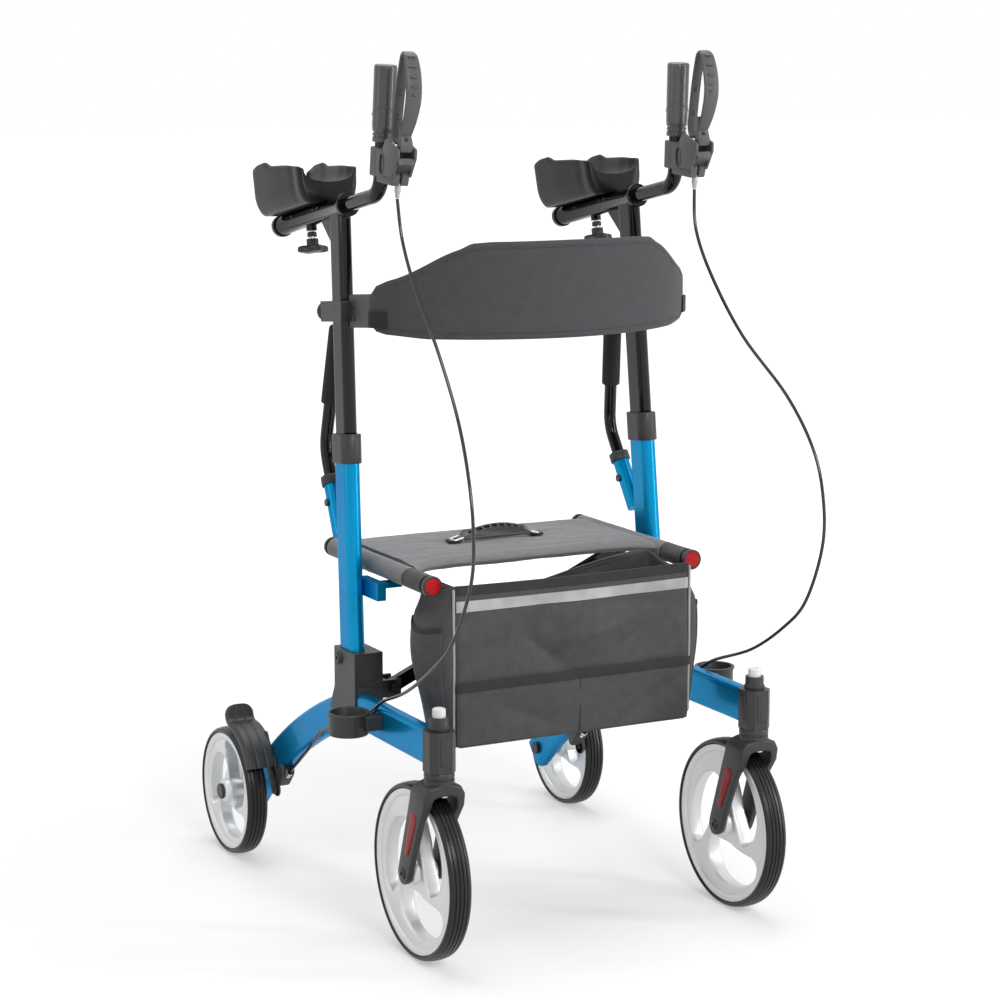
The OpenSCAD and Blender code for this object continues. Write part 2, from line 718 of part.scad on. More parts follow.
// Fender: arched guard with a turned-up tongue, its stay on the rail, the brake's body and pin
fender_y = rear_axle_y - fender_ahead;
fender_z = rear_wheel_d / 2 + fender_lift;
fender_top = fender_low_turn + fender_turn;
function on_fender(turn, r) = [fender_y - r * cos(turn), fender_z + r * sin(turn)];
module front_arc(r, t, x0, x1, low, turn) rotate([180 - low - turn, 0, 0]) rotate([0, 90, 0])
    rotate([0, 0, 90]) rotate_extrude(angle = turn) translate([r, x0]) square([t, x1 - x0]);
module fender(side) color("dimgray") on_side(side) {
    tip = on_fender(fender_top, fender_r + fender_t + lip_r);
    difference() {
        union() {
            translate([0, fender_y, fender_z])
                front_arc(fender_r, fender_t, stay_x, stay_x + fender_w, fender_low_turn,
                    fender_turn + lap_turn);
            along_x(stay_x, stay_x + stay_t) for (turn = stay_turns) tapered_bar([brake_y, brake_z],
                on_fender(turn, fender_r + fender_t / 2), brake_boss_r, stay_arm_r);
            along_x(side_x - rail_w / 4, stay_x + stay_t) tapered_bar([brake_y, brake_z],
                [brake_y + brake_body_y, brake_z + brake_body_z], brake_body_r, brake_body_r - stay_t);
            translate([0, brake_y, brake_z])
                rod_x(brake_pin_d, stay_x, stay_x + stay_t + brake_arm_t + shoe_inset);
        }
        rail_path(slide_gap, over);
        translate([adjuster_x, adjuster_y, adjuster_z]) rotate([-90 - adjuster_turn, 0, 0])
            rod_z(adjuster_d + 2 * slide_gap, -over, adjuster_l + slide_gap);
    }
    translate([stay_x + fender_w / 2, tip.x, tip.y]) rotate([90 - fender_top, 0, 0]) {
        rotate([0, 90, 0]) rotate_extrude(angle = lip_turn) translate([lip_r + fender_t / 2, 0])
            square([fender_t - 2 * bend_thin, fender_w - 2 * bend_thin], center = true);
        rotate([lip_turn, 0, 0]) translate([0, tongue_l / 2 - tongue_run, -lip_r - fender_t])
            linear_extrude(fender_t) rounded_rect(fender_w, tongue_l, tongue_round);
    }
}

// Brake arm: turns on the fender's pin and presses its shoe on the rear tyre, under the fender
arm_x = stay_x + stay_t + 2 * slide_gap;
shoe_mid = shoe_low_turn + shoe_turn / 2;
shoe_r = rear_wheel_d / 2 + shoe_gap;
module brake_arm(side) color("dimgray") on_side(side) difference() {
    union() {
        along_x(arm_x, arm_x + brake_arm_t) tapered_bar([brake_y, brake_z], [rear_axle_y, rear_wheel_d / 2]
            + (shoe_r + shoe_t / 2) * [-cos(shoe_mid), sin(shoe_mid)], brake_arm_r, shoe_t);
        translate([0, rear_axle_y, rear_wheel_d / 2])
            front_arc(shoe_r, shoe_t, arm_x + brake_arm_t / 2, rear_wheel_x + tyre_w / 2 - shoe_inset,
                shoe_low_turn, shoe_turn);
    }
    translate([0, brake_y, brake_z]) rod_x(brake_pin_d + 2 * run_fit, 0, 2 * rear_wheel_x);
}

// Cane holder: an open ring clipped to the rail's outer face
module cane_holder(side) color("black") on_side(side) {
    x = side_x + rail_w / 2 + holder_gap + holder_d / 2;
    difference() {
        union() {
            translate([x, holder_y, 0]) {
                rod_z(holder_d, holder_z - holder_h, holder_z);
                rod_z(holder_d + 2 * holder_lip, holder_z - holder_lip_h, holder_z);
            }
            box(side_x + rail_w / 2, side_x + rail_w / 2 + holder_clip_t,
                holder_y - holder_d / 2 - holder_clip_l / 2, holder_y - holder_d / 4,
                holder_z - holder_lip_h - holder_clip_h, holder_z - holder_lip_h);
        }
        translate([x, holder_y, 0]) {
            rod_z(holder_d - 2 * holder_wall, holder_z - holder_h + holder_floor, holder_z + over);
            rod_z(holder_d - 2 * holder_wall - 2 * holder_ledge, 0, holder_z);
        }
    }
}

// Arm post: flat-oval post with the arm tube, its ring, end cap, gusset and knob boss
module arm_post(side) color("black") difference() {
    union() {
        on_upright(side) rod_shape(post_l, post_w, post_low, arm_rise);
        on_arm(side) {
            rod_y(arm_tube_d, -arm_front, arm_back);
            rod_y(ring_d, -arm_front, ring_l - arm_front);
            rod_y(arm_cap_d, arm_back - arm_cap_l, arm_back);
            along_x(-gusset_t / 2, gusset_t / 2) polygon([[0, 0], [gusset_l + post_l / 2, 0],
                [post_l / 2, -gusset_h - arm_tube_d / 2], [0, -gusset_h - arm_tube_d / 2]]);
            translate([0, knob_y, 0]) rod_z(knob_boss_d, -arm_tube_d / 2 - knob_boss_h, 0);
        }
    }
    on_upright(side) rod_shape(post_l - 2 * post_wall, post_w - 2 * post_wall, post_low - over,
        arm_rise - arm_tube_d);
    on_arm(side) rod_y(handle_d + 2 * run_fit, -arm_front - over, arm_back - arm_cap_l);
    on_arm(side) translate([0, knob_y, 0]) rod_z(knob_stem_d + 2 * run_fit, -arm_tube_d, 0);
}

// Forearm pad: a trough with raised rear humps
module arm_pad(side) color("dimgray") on_arm(side) {
    w = pad_w / 2;
    s = pad_profile_shares;
    difference() {
        intersection() {
            along_y(pad_y, pad_y + pad_l) polygon([[-w * pad_foot_share, pad_z],
                [w * pad_foot_share, pad_z], [w, pad_z + pad_flank], [w, pad_z + pad_hump_h],
                [-w, pad_z + pad_hump_h], [-w, pad_z + pad_flank]]);
            translate([0, pad_y, pad_z]) along_x(-w, w) polygon([[0, 0], [pad_l * s[5], 0],
                [pad_l * s[4], pad_flank], [pad_l * s[4], pad_rear_h], [pad_l * s[3], pad_hump_h],
                [pad_l * s[2], pad_hump_h], [pad_l * s[1], pad_mid_h], [pad_l * s[0], pad_front_h],
                [0, pad_front_h]]);
        }
        translate([0, 0, pad_z + pad_floor + pad_trough_r])
            rod_y(2 * pad_trough_r, pad_y - over, pad_y + pad_l + over);
        box(-pad_trough_r, pad_trough_r, pad_y - over, pad_y + pad_l + over,
            pad_z + pad_floor + pad_trough_r, pad_z + 2 * pad_hump_h);
        rod_y(arm_tube_d + 2 * seat_gap, 0, arm_back + over);
        rod_y(arm_cap_d + 2 * seat_gap, arm_back - arm_cap_l - seat_gap, arm_back + over);
    }
}

// Handle tube: slides in the arm tube and bends up to the grip
module handle_tube(side) color("black") {
    on_arm(side) {
        rod_y(handle_d, corner_run - handle_reach, handle_in);
        translate([0, corner_run - handle_reach, 0]) rise_bend(corner_r, handle_bend)
            circle(d = handle_d - 2 * bend_thin);
    }
    on_handle(side) rod_z(handle_d, corner_run - over, grip_low + grip_l - handle_d / 2 - slide_gap);
}
module hand_grip(side) color("black") on_handle(side) difference() {
    rod_z(grip_d, grip_low, grip_low + grip_l);
    rod_z(handle_d + 2 * run_fit, 0, grip_low + grip_l - handle_d / 2);
}

// Lever bracket: clamp on the handle tube, cheeks for the lever, cable stop and ferrule
module lever_bracket(side) color("dimgray") on_handle(side) difference() {
    cheek_x = lever_w / 2 + cheek_gap;
    union() {
        box(-clamp_half, clamp_half, -clamp_back, clamp_back, bracket_low, bracket_low + bracket_tall);
        for (sx = [0, 1]) mirror([sx, 0, 0]) along_x(cheek_x, cheek_x + cheek_t)
            polygon([[0, bracket_low + cheek_drop], [0, bracket_low + bracket_tall],
                [-cheek_shoulder, bracket_low + bracket_tall], [-cheek_peak_y, cheek_peak_z],
                [-cheek_reach, cheek_front_z], [-cheek_reach, cheek_nose_z],
                [-cheek_foot_y, bracket_low + cheek_drop]]);
        box(-cheek_x - cheek_t, cheek_x + cheek_t, -stop_front, -stop_back + clamp_back,
            stop_low, bracket_low + cheek_drop);
        translate([0, -ferrule_y, 0]) rod_z(ferrule_d, stop_low - ferrule_l, stop_low);
        translate([0, -lever_pivot_y, lever_pivot_z])
            rod_x(lever_pin_d, -cheek_x - cheek_t, cheek_x + cheek_t);
    }
    rod_z(handle_d + 2 * run_fit, 0, grip_low + grip_l);
    at_handle_bend();
}
// The bend's own space, kept clear of the bracket's stop
module at_handle_bend() rotate([handle_bend - 90, 0, 0]) translate([0, corner_run, 0])
    rise_bend(corner_r, handle_bend) circle(d = handle_d + 2 * slide_gap);

// Brake lever: a closed loop on a pin between the bracket's cheeks
module lever_loop(inset) {
    middle = [-lever_mid_y, lever_mid_z];
    tapered_bar([-lever_top_y, lever_top_z], middle, lever_top_r - inset, lever_mid_r - inset);
    tapered_bar(middle, [-lever_low_y, lever_low_z], lever_mid_r - inset, lever_low_r - inset);
}
module brake_lever(side) color("dimgray") on_handle(side) difference() {
    root = [-lever_pivot_y, lever_pivot_z];
    along_x(-lever_w / 2, lever_w / 2) difference() {
        union() {
            lever_loop(0);
            tapered_bar([-lever_low_y, lever_low_z], root, lever_low_r, lever_root_r);
        }
        lever_loop(lever_t);
    }
    translate([0, root.x, root.y]) rod_x(lever_pin_d + 2 * run_fit, -lever_w, lever_w);
}

// Knob under the arm tube that holds the handle tube
module arm_knob(side) color("black") on_arm(side) translate([0, knob_y, 0]) {
    rod_z(knob_stem_d, -knob_z, -handle_d / 2 - slide_gap);
    rod_z(knob_collar_d, -knob_z, -knob_z + knob_collar_h);
    rod_z(2 * knob_core_r, -knob_z - knob_h, -knob_z);
    for (turn = [0 : 90 : 270]) rotate(turn) translate([knob_lobe_place, 0, 0])
        rod_z(2 * knob_lobe_r, -knob_z - knob_h, -knob_z);
}

// Back clamp on the post, with its forward plate, and the knob that holds it
module at_clamp(side) on_upright(side) translate([0, 0, clamp_rise]) children();
clamp_front = post_l / 2 + clamp_wall;
module back_clamp(side) color("dimgray") at_clamp(side) difference() {
    union() {
        box(-post_w / 2 - clamp_wall, post_w / 2 + clamp_wall, -clamp_front, clamp_rear,
            -clamp_h / 2, clamp_h / 2);
        box(-plate_t / 2, plate_t / 2, plate_front, -clamp_front + over, -plate_h / 2, plate_h / 2);
    }
    rod_shape(post_l + 2 * slide_gap, post_w + 2 * slide_gap, -plate_h, plate_h);
    rod_y(back_stem_d + 2 * run_fit, 0, clamp_rear + over);
}
module back_knob(side) color("black") at_clamp(side) {
    rod_y(back_stem_d, post_l / 2 + 2 * slide_gap, clamp_rear + back_neck_l);
    rod_y(back_neck_d, clamp_rear + slide_gap, clamp_rear + back_neck_l);
    rod_y(back_knob_d, clamp_rear + back_neck_l, clamp_rear + back_neck_l + back_knob_l);
}

// Back band: bowed forward across the clamps' plates, with a strap at each end
band_r = (band_half * band_half + band_bow * band_bow) / 2 / band_bow;
band_in = band_r - band_t / 2;
band_z = from_upright([0, 0, clamp_rise]).z;
plate_edge = from_upright([plate_t / 2, 0, clamp_rise - plate_h / 2]);
plate_front = (band_y + band_r - sqrt(band_in * band_in - plate_edge.x * plate_edge.x)
    + slide_gap - plate_edge.y) / cos(lean_back);
module band_bowed(t) translate([0, band_y + band_r, 0]) difference() {
    cylinder(r = band_r + t / 2, h = 2 * band_z);
    translate([0, 0, -over]) cylinder(r = band_r - t / 2, h = 2 * band_z + 2 * over);
}
module back_band() color("dimgray") {
    intersection() {
        band_bowed(band_t);
        translate([0, 0, band_z - band_drop]) along_y(2 * band_y, band_y + band_bow) band_outline();
    }
    intersection() {
        band_bowed(strap_t);
        box(-band_half, band_half, 2 * band_y, band_y + band_bow, band_z - strap_w / 2, band_z + strap_w / 2);
    }
}
module band_outline() {
    w = band_half;
    half = [[w * band_low_share, 0], [w * band_edge_share, band_low_rise],
        [w * band_edge_share, band_low_rise + band_edge_h], [w * band_peak_share, band_h]];
    polygon(concat(half, [for (k = [3 : -1 : 0]) [-half[k].x, half[k].y]]));
}

// Brace bars with their seat rails; bar A carries the pivot bolt and the left rail
module brace(lane) {
    difference() {
        union() {
            along_y(brace_y + lane * bar_y - bar_t / 2, brace_y + lane * bar_y + bar_t / 2)
                tapered_bar([-pivot_x, pivot_z], [seat_x, seat_z], bar_h / 2, bar_h / 2 - slide_gap);
            translate([seat_x, 0, seat_z]) rod_y(seat_rail_d, seat_rail_y, seat_rail_y + seat_rail_l);
        }
        translate([-pivot_x, brace_y, pivot_z]) rod_y(pin_d + 2 * run_fit, -lug_half, lug_half);
        translate([0, brace_y, cross_z]) rod_y(pin_d + 2 * run_fit, -lug_half, lug_half);
        translate([seat_x, 0, seat_z]) rod_y(seat_rail_d - 2 * seat_rail_wall, seat_rail_y - over,
            seat_rail_y + seat_rail_l + over);
    }
    for (end = [0, 1]) translate([seat_x, seat_rail_y + end * seat_rail_l, seat_z]) mirror([0, end, 0]) {
        rod_y(rail_cap_d, -rail_cap_h, -seat_gap);
        rod_y(seat_rail_d - 2 * seat_rail_wall - 2 * slide_gap, -over, rail_plug_h);
    }
}
module brace_a() color("black") {
    brace(-1);
    translate([0, brace_y, cross_z]) {
        rod_y(pin_d, -bar_t - bar_gap - pin_head_h, bar_t + bar_gap + pin_head_h);
        for (end = [0, 1]) mirror([0, end, 0])
            rod_y(pin_head_d, bar_t + bar_gap + slide_gap, bar_t + bar_gap + pin_head_h);
    }
}
module brace_b() color("black") mirror([1, 0, 0]) brace(1);

// Seat fabric: a padded panel with a soft crown, drawn forward at its front corners, and rail sleeves
sleeve_r = seat_rail_d / 2 + sleeve_gap + sleeve_t;
function swell(t) = 1 - pow(2 * t - 1, 8);
module seat_panel() {
    half = seat_x - seat_rail_d / 2 - sleeve_gap - sleeve_t / 2;
    top = [for (j = [0 : seat_rows], i = [0 : seat_cols]) let (u = i / seat_cols, v = j / seat_rows)
        [half * (2 * u - 1), seat_y + v * seat_depth - seat_flare * (1 - swell(u)) * (1 - v),
            seat_z + seat_lift + (seat_t / 2 + seat_crown * swell(u)) * swell(v)]];
    low = [for (p = top) [p.x, p.y, 2 * (seat_z + seat_lift) - p.z - sleeve_t]];
    n = seat_cols + 1;
    m = n * (seat_rows + 1);
    cells = [for (j = [0 : seat_rows - 1], i = [0 : seat_cols - 1]) j * n + i];
    rim = concat([for (i = [0 : seat_cols]) i], [for (j = [1 : seat_rows]) j * n + seat_cols],
        [for (i = [seat_cols - 1 : -1 : 0]) seat_rows * n + i], [for (j = [seat_rows - 1 : -1 : 1]) j * n]);
    polyhedron(concat(top, low), concat(
        [for (c = cells) each [[c, c + n + 1, c + 1], [c, c + n, c + n + 1]]],
        [for (c = cells) each [[m + c, m + c + 1, m + c + n + 1], [m + c, m + c + n + 1, m + c + n]]],
        [for (k = [0 : len(rim) - 1]) let (a = rim[k], b = rim[(k + 1) % len(rim)])
            each [[a, b, m + b], [a, m + b, m + a]]]));
}
module seat_fabric() color("dimgray") difference() {
    union() {
        seat_panel();
        for (sx = [-1, 1]) translate([sx * seat_x, 0, seat_z]) difference() {
            rod_y(2 * sleeve_r, seat_rail_y + sleeve_front, seat_y + seat_depth);
            rod_y(2 * sleeve_r - 2 * sleeve_t, seat_rail_y, seat_y + seat_depth + over);
        }
    }
    for (end = [0, 1]) mirror([end, 0, 0]) {
        along_y(brace_y - lug_slot, brace_y + lug_slot) tapered_bar([0, cross_z], [seat_x, seat_z],
            bar_h / 2 + bar_clear, bar_h / 2 + bar_clear - slide_gap);
    }
}

// Carry handle: a strap that arches over the seat
carry_z = seat_z + seat_lift + seat_t / 2 + seat_crown + slide_gap;
carry_r = (carry_l * carry_l / 4 + carry_rise * carry_rise) / 2 / carry_rise;
carry_turn = 2 * asin(carry_l / 2 / carry_r);
module carry_handle() color("black") translate([0, carry_y, carry_z + carry_rise - carry_r]) {
    rotate([90, 0, 0]) rotate([0, 0, 90 + lap_turn - carry_turn / 2])
        rotate_extrude(angle = carry_turn - 2 * lap_turn)
            translate([carry_r, -carry_w / 2]) square([carry_t, carry_w]);
    for (sx = [0, 1]) mirror([sx, 0, 0]) box(carry_l / 2 - carry_t, carry_l / 2 + carry_tab,
        -carry_tab_w / 2, carry_tab_w / 2, carry_r - carry_rise, carry_r - carry_rise + carry_t);
}

// Bag: an open sack under the seat's front, with a loop on each rail
module bag_shape(grow, low) along_x(-bag_w / 2 - grow, bag_w / 2 + grow)
    polygon([[bag_y - grow, bag_z + low], [bag_y - grow, bag_z - bag_h - grow],
        [bag_y + bag_foot_depth + grow, bag_z - bag_h - grow],
        [bag_y + bag_depth + grow, bag_z - bag_slant + low]]);
module bag() color("black") {
    difference() {
        bag_shape(0, 0);
        bag_shape(-bag_wall, over);
    }
    for (sx = [0, 1]) mirror([sx, 0, 0]) difference() {
        union() {
            translate([seat_x, 0, seat_z]) rod_y(2 * sleeve_r, bag_loop_y, bag_loop_y + bag_loop_l);
            box(bag_w / 2 - bag_wall, seat_x, bag_loop_y, bag_loop_y + bag_loop_l,
                bag_z - bag_tab_h, bag_z - bag_wall);
        }
        translate([seat_x, 0, seat_z]) rod_y(2 * sleeve_r - 2 * sleeve_t, seat_rail_y, seat_y + seat_depth);
    }
}

// Brake cable: one smooth tube along the route
cable_top = from_handle([0, -ferrule_y, stop_low - ferrule_l - cable_seat]);
adjuster_way = [0, -cos(adjuster_turn), sin(adjuster_turn)];
cable_end = [adjuster_x, adjuster_y, adjuster_z] + adjuster_way * cable_seat;
cable_points = concat([cable_top], cable_route, [cable_end + adjuster_way * ferrule_l, cable_end]);
function smooth(a, b, c, d, t) = (2 * b + (c - a) * t + (2 * a - 5 * b + 4 * c - d) * t * t
    + (3 * b - a - 3 * c + d) * t * t * t) / 2;
function curve(p, n) = let (last = len(p) - 1) concat([for (i = [0 : last - 1], k = [0 : n - 1])
    smooth(p[max(i - 1, 0)], p[i], p[i + 1], p[min(i + 2, last)], k / n)], [p[last]]);
function unit(v) = v / norm(v);
module cable_tube(path, d, sides) {
    last = len(path) - 1;
    ways = [for (i = [0 : last]) unit(path[min(i + 1, last)] - path[max(i - 1, 0)])];
    rings = [for (i = [0 : last]) let (u = unit(cross(ways[i], [1, 0, 0])), v = cross(ways[i], u))
        for (k = [0 : sides - 1]) path[i] + d / 2 * (cos(360 * k / sides) * u + sin(360 * k / sides) * v)];
    polyhedron(rings, concat([[for (k = [0 : sides - 1]) k]],
        [for (i = [0 : last - 1], k = [0 : sides - 1])
            let (a = i * sides + k, b = i * sides + (k + 1) % sides)
                each [[a, b + sides, b], [a, a + sides, b + sides]]],
        [[for (k = [sides - 1 : -1 : 0]) last * sides + k]]));
}
module brake_cable(side) color("black") on_side(side)
    cable_tube(curve(cable_points, cable_steps), cable_d, cable_sides);

lower_rail(right);  // lower_rail_right
lower_rail(left);  // lower_rail_left
base_hub(right);  // base_hub_right
base_hub(left);  // base_hub_left
upright_tube(right);  // upright_tube_right
upright_tube(left);  // upright_tube_left
frame_collars(right);  // frame_collars_right
frame_collars(left);  // frame_collars_left
caster_housing(right);  // caster_housing_right
caster_housing(left);  // caster_housing_left
cane_holder(right);  // cane_holder_right
cane_holder(left);  // cane_holder_left
fender(right);  // fender_right
fender(left);  // fender_left
push_handle(right);  // push_handle_right
push_handle(left);  // push_handle_left
push_grip(right);  // push_grip_right
push_grip(left);  // push_grip_left
side_bolts(right);  // side_bolts_right
side_bolts(left);  // side_bolts_left
arm_post(right);  // arm_post_right
arm_post(left);  // arm_post_left
arm_pad(right);  // arm_pad_right
arm_pad(left);  // arm_pad_left
handle_tube(right);  // handle_tube_right
handle_tube(left);  // handle_tube_left
hand_grip(right);  // hand_grip_right
hand_grip(left);  // hand_grip_left
lever_bracket(right);  // lever_bracket_right
lever_bracket(left);  // lever_bracket_left
brake_lever(right);  // brake_lever_right
brake_lever(left);  // brake_lever_left
arm_knob(right);  // arm_knob_right
arm_knob(left);  // arm_knob_left
back_clamp(right);  // back_clamp_right
back_clamp(left);  // back_clamp_left
back_knob(right);  // back_knob_right
back_knob(left);  // back_knob_left
caster_fork(right);  // caster_fork_right
caster_fork(left);  // caster_fork_left
front_rim(right);  // front_rim_right
front_rim(left);  // front_rim_left
front_tyre(right);  // front_tyre_right
front_tyre(left);  // front_tyre_left
rear_rim(right);  // rear_rim_right
rear_rim(left);  // rear_rim_left
rear_tyre(right);  // rear_tyre_right
rear_tyre(left);  // rear_tyre_left
release_button(right);  // release_button_right
release_button(left);  // release_button_left
brake_arm(right);  // brake_arm_right
brake_arm(left);  // brake_arm_left
brake_cable(right);  // brake_cable_right
brake_cable(left);  // brake_cable_left
brace_a();
brace_b();
seat_fabric();
carry_handle();
bag();
back_band();
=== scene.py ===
from math import acos, asin, atan2, cos, degrees, exp, pi, radians as rad, sin, sqrt, tan

import bmesh
import bpy
from mathutils import Matrix, Vector, noise


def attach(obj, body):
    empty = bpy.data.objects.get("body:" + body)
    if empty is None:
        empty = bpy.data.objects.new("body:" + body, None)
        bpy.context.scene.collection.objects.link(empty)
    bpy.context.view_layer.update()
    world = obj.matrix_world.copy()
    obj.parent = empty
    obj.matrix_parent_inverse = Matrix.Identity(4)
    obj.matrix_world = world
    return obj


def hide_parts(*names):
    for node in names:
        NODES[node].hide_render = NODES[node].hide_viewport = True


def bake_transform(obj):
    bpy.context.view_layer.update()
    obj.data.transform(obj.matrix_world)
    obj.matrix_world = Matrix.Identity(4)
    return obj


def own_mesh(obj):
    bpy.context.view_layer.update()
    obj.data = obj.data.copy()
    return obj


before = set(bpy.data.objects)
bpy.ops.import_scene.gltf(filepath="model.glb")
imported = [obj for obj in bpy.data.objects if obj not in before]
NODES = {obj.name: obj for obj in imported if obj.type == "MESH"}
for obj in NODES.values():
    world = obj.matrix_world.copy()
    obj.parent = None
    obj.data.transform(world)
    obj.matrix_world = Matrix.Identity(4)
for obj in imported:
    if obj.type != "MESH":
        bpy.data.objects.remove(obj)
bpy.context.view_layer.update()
scene = bpy.context.scene
MM = 0.001
TAU = 2 * pi
SIDES = {"right": -1, "left": 1}


# Frames of the walker, in mm, left side
SIDE_X, FOOT_Y, RAIL_Z = 257.0, -57.5, 314.791
LEAN_BACK, LEAN_IN, ARM_DROOP, HANDLE_BEND = 5.3, 1.25, 5.6, 75.0
ARM_RISE, HANDLE_REACH = 728.0, 139.0


def shift(x, y, z):
    return Matrix.Translation((x, y, z))


def turn(angle, axis):
    return Matrix.Rotation(rad(angle), 4, axis)


UP = shift(SIDE_X, FOOT_Y, RAIL_Z) @ turn(-LEAN_IN, "Y") @ turn(-LEAN_BACK, "X")
ARM = UP @ shift(0, 0, ARM_RISE) @ turn(-ARM_DROOP, "X")
HANDLE = ARM @ shift(0, -HANDLE_REACH, 0) @ turn(90 - HANDLE_BEND, "X")
PUSH_BEND, PUSH_R, PUSH_RISE = 38.7, 60, 68
PUSH = shift(248, 22.5, 604.791) @ turn(-3.5, "Y") @ turn(-30, "X")
PUSH_LEG = PUSH @ shift(0, -PUSH_R * (1 - cos(rad(PUSH_BEND))), PUSH_RISE + PUSH_R * sin(rad(PUSH_BEND)))
PUSH_LEG = PUSH_LEG @ turn(PUSH_BEND, "X")
CLAMP = UP @ shift(0, 0, 578)
STEM = shift(SIDE_X, -338.75, 0)
FRONT_R, FRONT_Y, REAR_R, REAR_Y = 127.0, -281.75, 101.5, 307.25
FRONT = shift(SIDE_X, FRONT_Y, FRONT_R)
REAR = shift(302, REAR_Y, REAR_R)
HUB = shift(SIDE_X, FOOT_Y, RAIL_Z)
SEAT_X, SEAT_Z, RAIL_Y = 213.6, 520.791, -224.0


# Materials
def put(t, n, inputs):
    """Sets a node's inputs: another node's socket is linked, anything else is a plain value."""
    for key, value in inputs.items():
        if isinstance(value, bpy.types.NodeSocket):
            t.links.new(value, n.inputs[key])
        else:
            n.inputs[key].default_value = value


def node(t, kind, inputs):
    n = t.nodes.new("ShaderNode" + kind)
    put(t, n, inputs)
    return n


def node_tree(name):
    m = bpy.data.materials.new(name)
    m.use_nodes = True
    t = m.node_tree
    t.nodes.clear()
    b = t.nodes.new("ShaderNodeBsdfPrincipled")
    t.links.new(b.outputs[0], t.nodes.new("ShaderNodeOutputMaterial").inputs[0])
    return m, t, b, t.nodes.new("ShaderNodeTexCoord").outputs["Object"]


def noise_tex(t, co, scale, detail, rough=0.55, stretch=None):
    if stretch:
        co = node(t, "Mapping", {"Scale": stretch, "Vector": co}).outputs[0]
    return node(t, "TexNoise", {"Scale": scale, "Detail": detail, "Roughness": rough, "Vector": co}).outputs["Fac"]


def ramp(t, fac, *stops):
    """A colour ramp between two stops, each (position, colour)."""
    r = node(t, "ValToRGB", {0: fac})
    for element, (place, color) in zip(r.color_ramp.elements, stops):
        element.position, element.color = place, (*color, 1)
    return r.outputs[0]


def spread(t, fac, low, high):
    return node(t, "MapRange", {"Value": fac, "To Min": low, "To Max": high}).outputs[0]


def bump(t, b, height, strength, distance):
    n = node(t, "Bump", {"Strength": strength, "Distance": distance, "Height": height})
    t.links.new(n.outputs[0], b.inputs["Normal"])


def mix_math(t, op, a, b):
    m = node(t, "Math", {0: a, 1: b})
    m.operation = op
    return m.outputs[0]


def tint(c, k):
    return tuple(min(1.0, x * k) for x in c)


def hard(name, color, rough, vary=0.12, grain=900, depth=0.00004, strength=0.25, metallic=0.0, coat=0.0,
         rough_vary=0.06, stretch=None, gloss=0.38):
    """A hard surface: slow colour drift, fine grain in its bump and a little drift in its gloss."""
    m, t, b, co = node_tree(name)
    put(t, b, {
        "Base Color": ramp(t, noise_tex(t, co, 14, 4), (0.3, tint(color, 1 - vary)), (0.7, tint(color, 1 + vary))),
        "Roughness": spread(t, noise_tex(t, co, 45, 3), rough - rough_vary, rough + rough_vary),
        "Metallic": metallic, "Coat Weight": coat, "Coat Roughness": 0.06, "Specular IOR Level": gloss})
    bump(t, b, noise_tex(t, co, grain, 2, 0.5, stretch), strength, depth)
    return m


def flake_paint(name, color):
    """Metallic paint: fine flakes that glint under a thin clear coat."""
    m, t, b, co = node_tree(name)
    flakes = node(t, "TexVoronoi", {"Scale": 1500, "Vector": co}).outputs["Distance"]
    base = ramp(t, noise_tex(t, co, 9, 3), (0.3, tint(color, 0.92)), (0.7, tint(color, 1.08)))
    glint = ramp(t, flakes, (0.0, (1.25, 1.25, 1.25)), (0.6, (0.85, 0.85, 0.85)))
    mx = t.nodes.new("ShaderNodeMix")
    mx.data_type, mx.blend_type = "RGBA", "MULTIPLY"
    put(t, mx, {0: 1.0, 6: base, 7: glint})
    put(t, b, {"Base Color": mx.outputs[2], "Metallic": 0.65, "Specular IOR Level": 0.1,
               "Specular Tint": (0.05, 0.5, 0.85, 1), "Coat Weight": 0.16, "Coat Roughness": 0.04,
               "Roughness": spread(t, flakes, 0.24, 0.36)})
    bump(t, b, noise_tex(t, co, 160, 2), 0.08, 0.0001)
    return m


def wave(t, co, scale, direction):
    w = node(t, "TexWave", {"Scale": scale, "Distortion": 0.6, "Detail": 1.0, "Vector": co})
    w.bands_direction = direction
    return w.outputs["Fac"]


def cloth(name, color, scale, rough, sheen=0.35, vary=0.18, axes=("X", "Z")):
    """A plain weave: two thread directions in the bump, slubs in the colour, sheen on the shader."""
    m, t, b, co = node_tree(name)
    weave = mix_math(t, "MULTIPLY", wave(t, co, scale, axes[0]), wave(t, co, scale, axes[1]))
    slubs = noise_tex(t, co, 60, 4, 0.6)
    both = mix_math(t, "ADD", mix_math(t, "MULTIPLY", slubs, 0.75), mix_math(t, "MULTIPLY", weave, 0.35))
    put(t, b, {"Base Color": ramp(t, both, (0.25, tint(color, 1 - vary)), (0.75, tint(color, 1 + vary))),
               "Roughness": rough, "Specular IOR Level": 0.2, "Sheen Weight": sheen, "Sheen Roughness": 0.5})
    bump(t, b, weave, 0.35, 0.00035)
    return m


def reflector(name, color):
    """Moulded cells, each with a painted reflection that is bright in its middle and dark at its edge."""
    m, t, b, co = node_tree(name)
    cells = node(t, "TexVoronoi", {"Scale": 330, "Randomness": 0.12, "Vector": co}).outputs["Distance"]
    # Painted reflection: the colour is bright in the middle of each cell and dark towards its edge
    put(t, b, {"Base Color": ramp(t, cells, (0.15, tint(color, 1.2)), (0.6, tint(color, 0.25))),
               "Roughness": 0.3, "Specular IOR Level": 0.2, "Coat Weight": 0.08})
    bump(t, b, cells, 0.5, 0.0006)
    return m


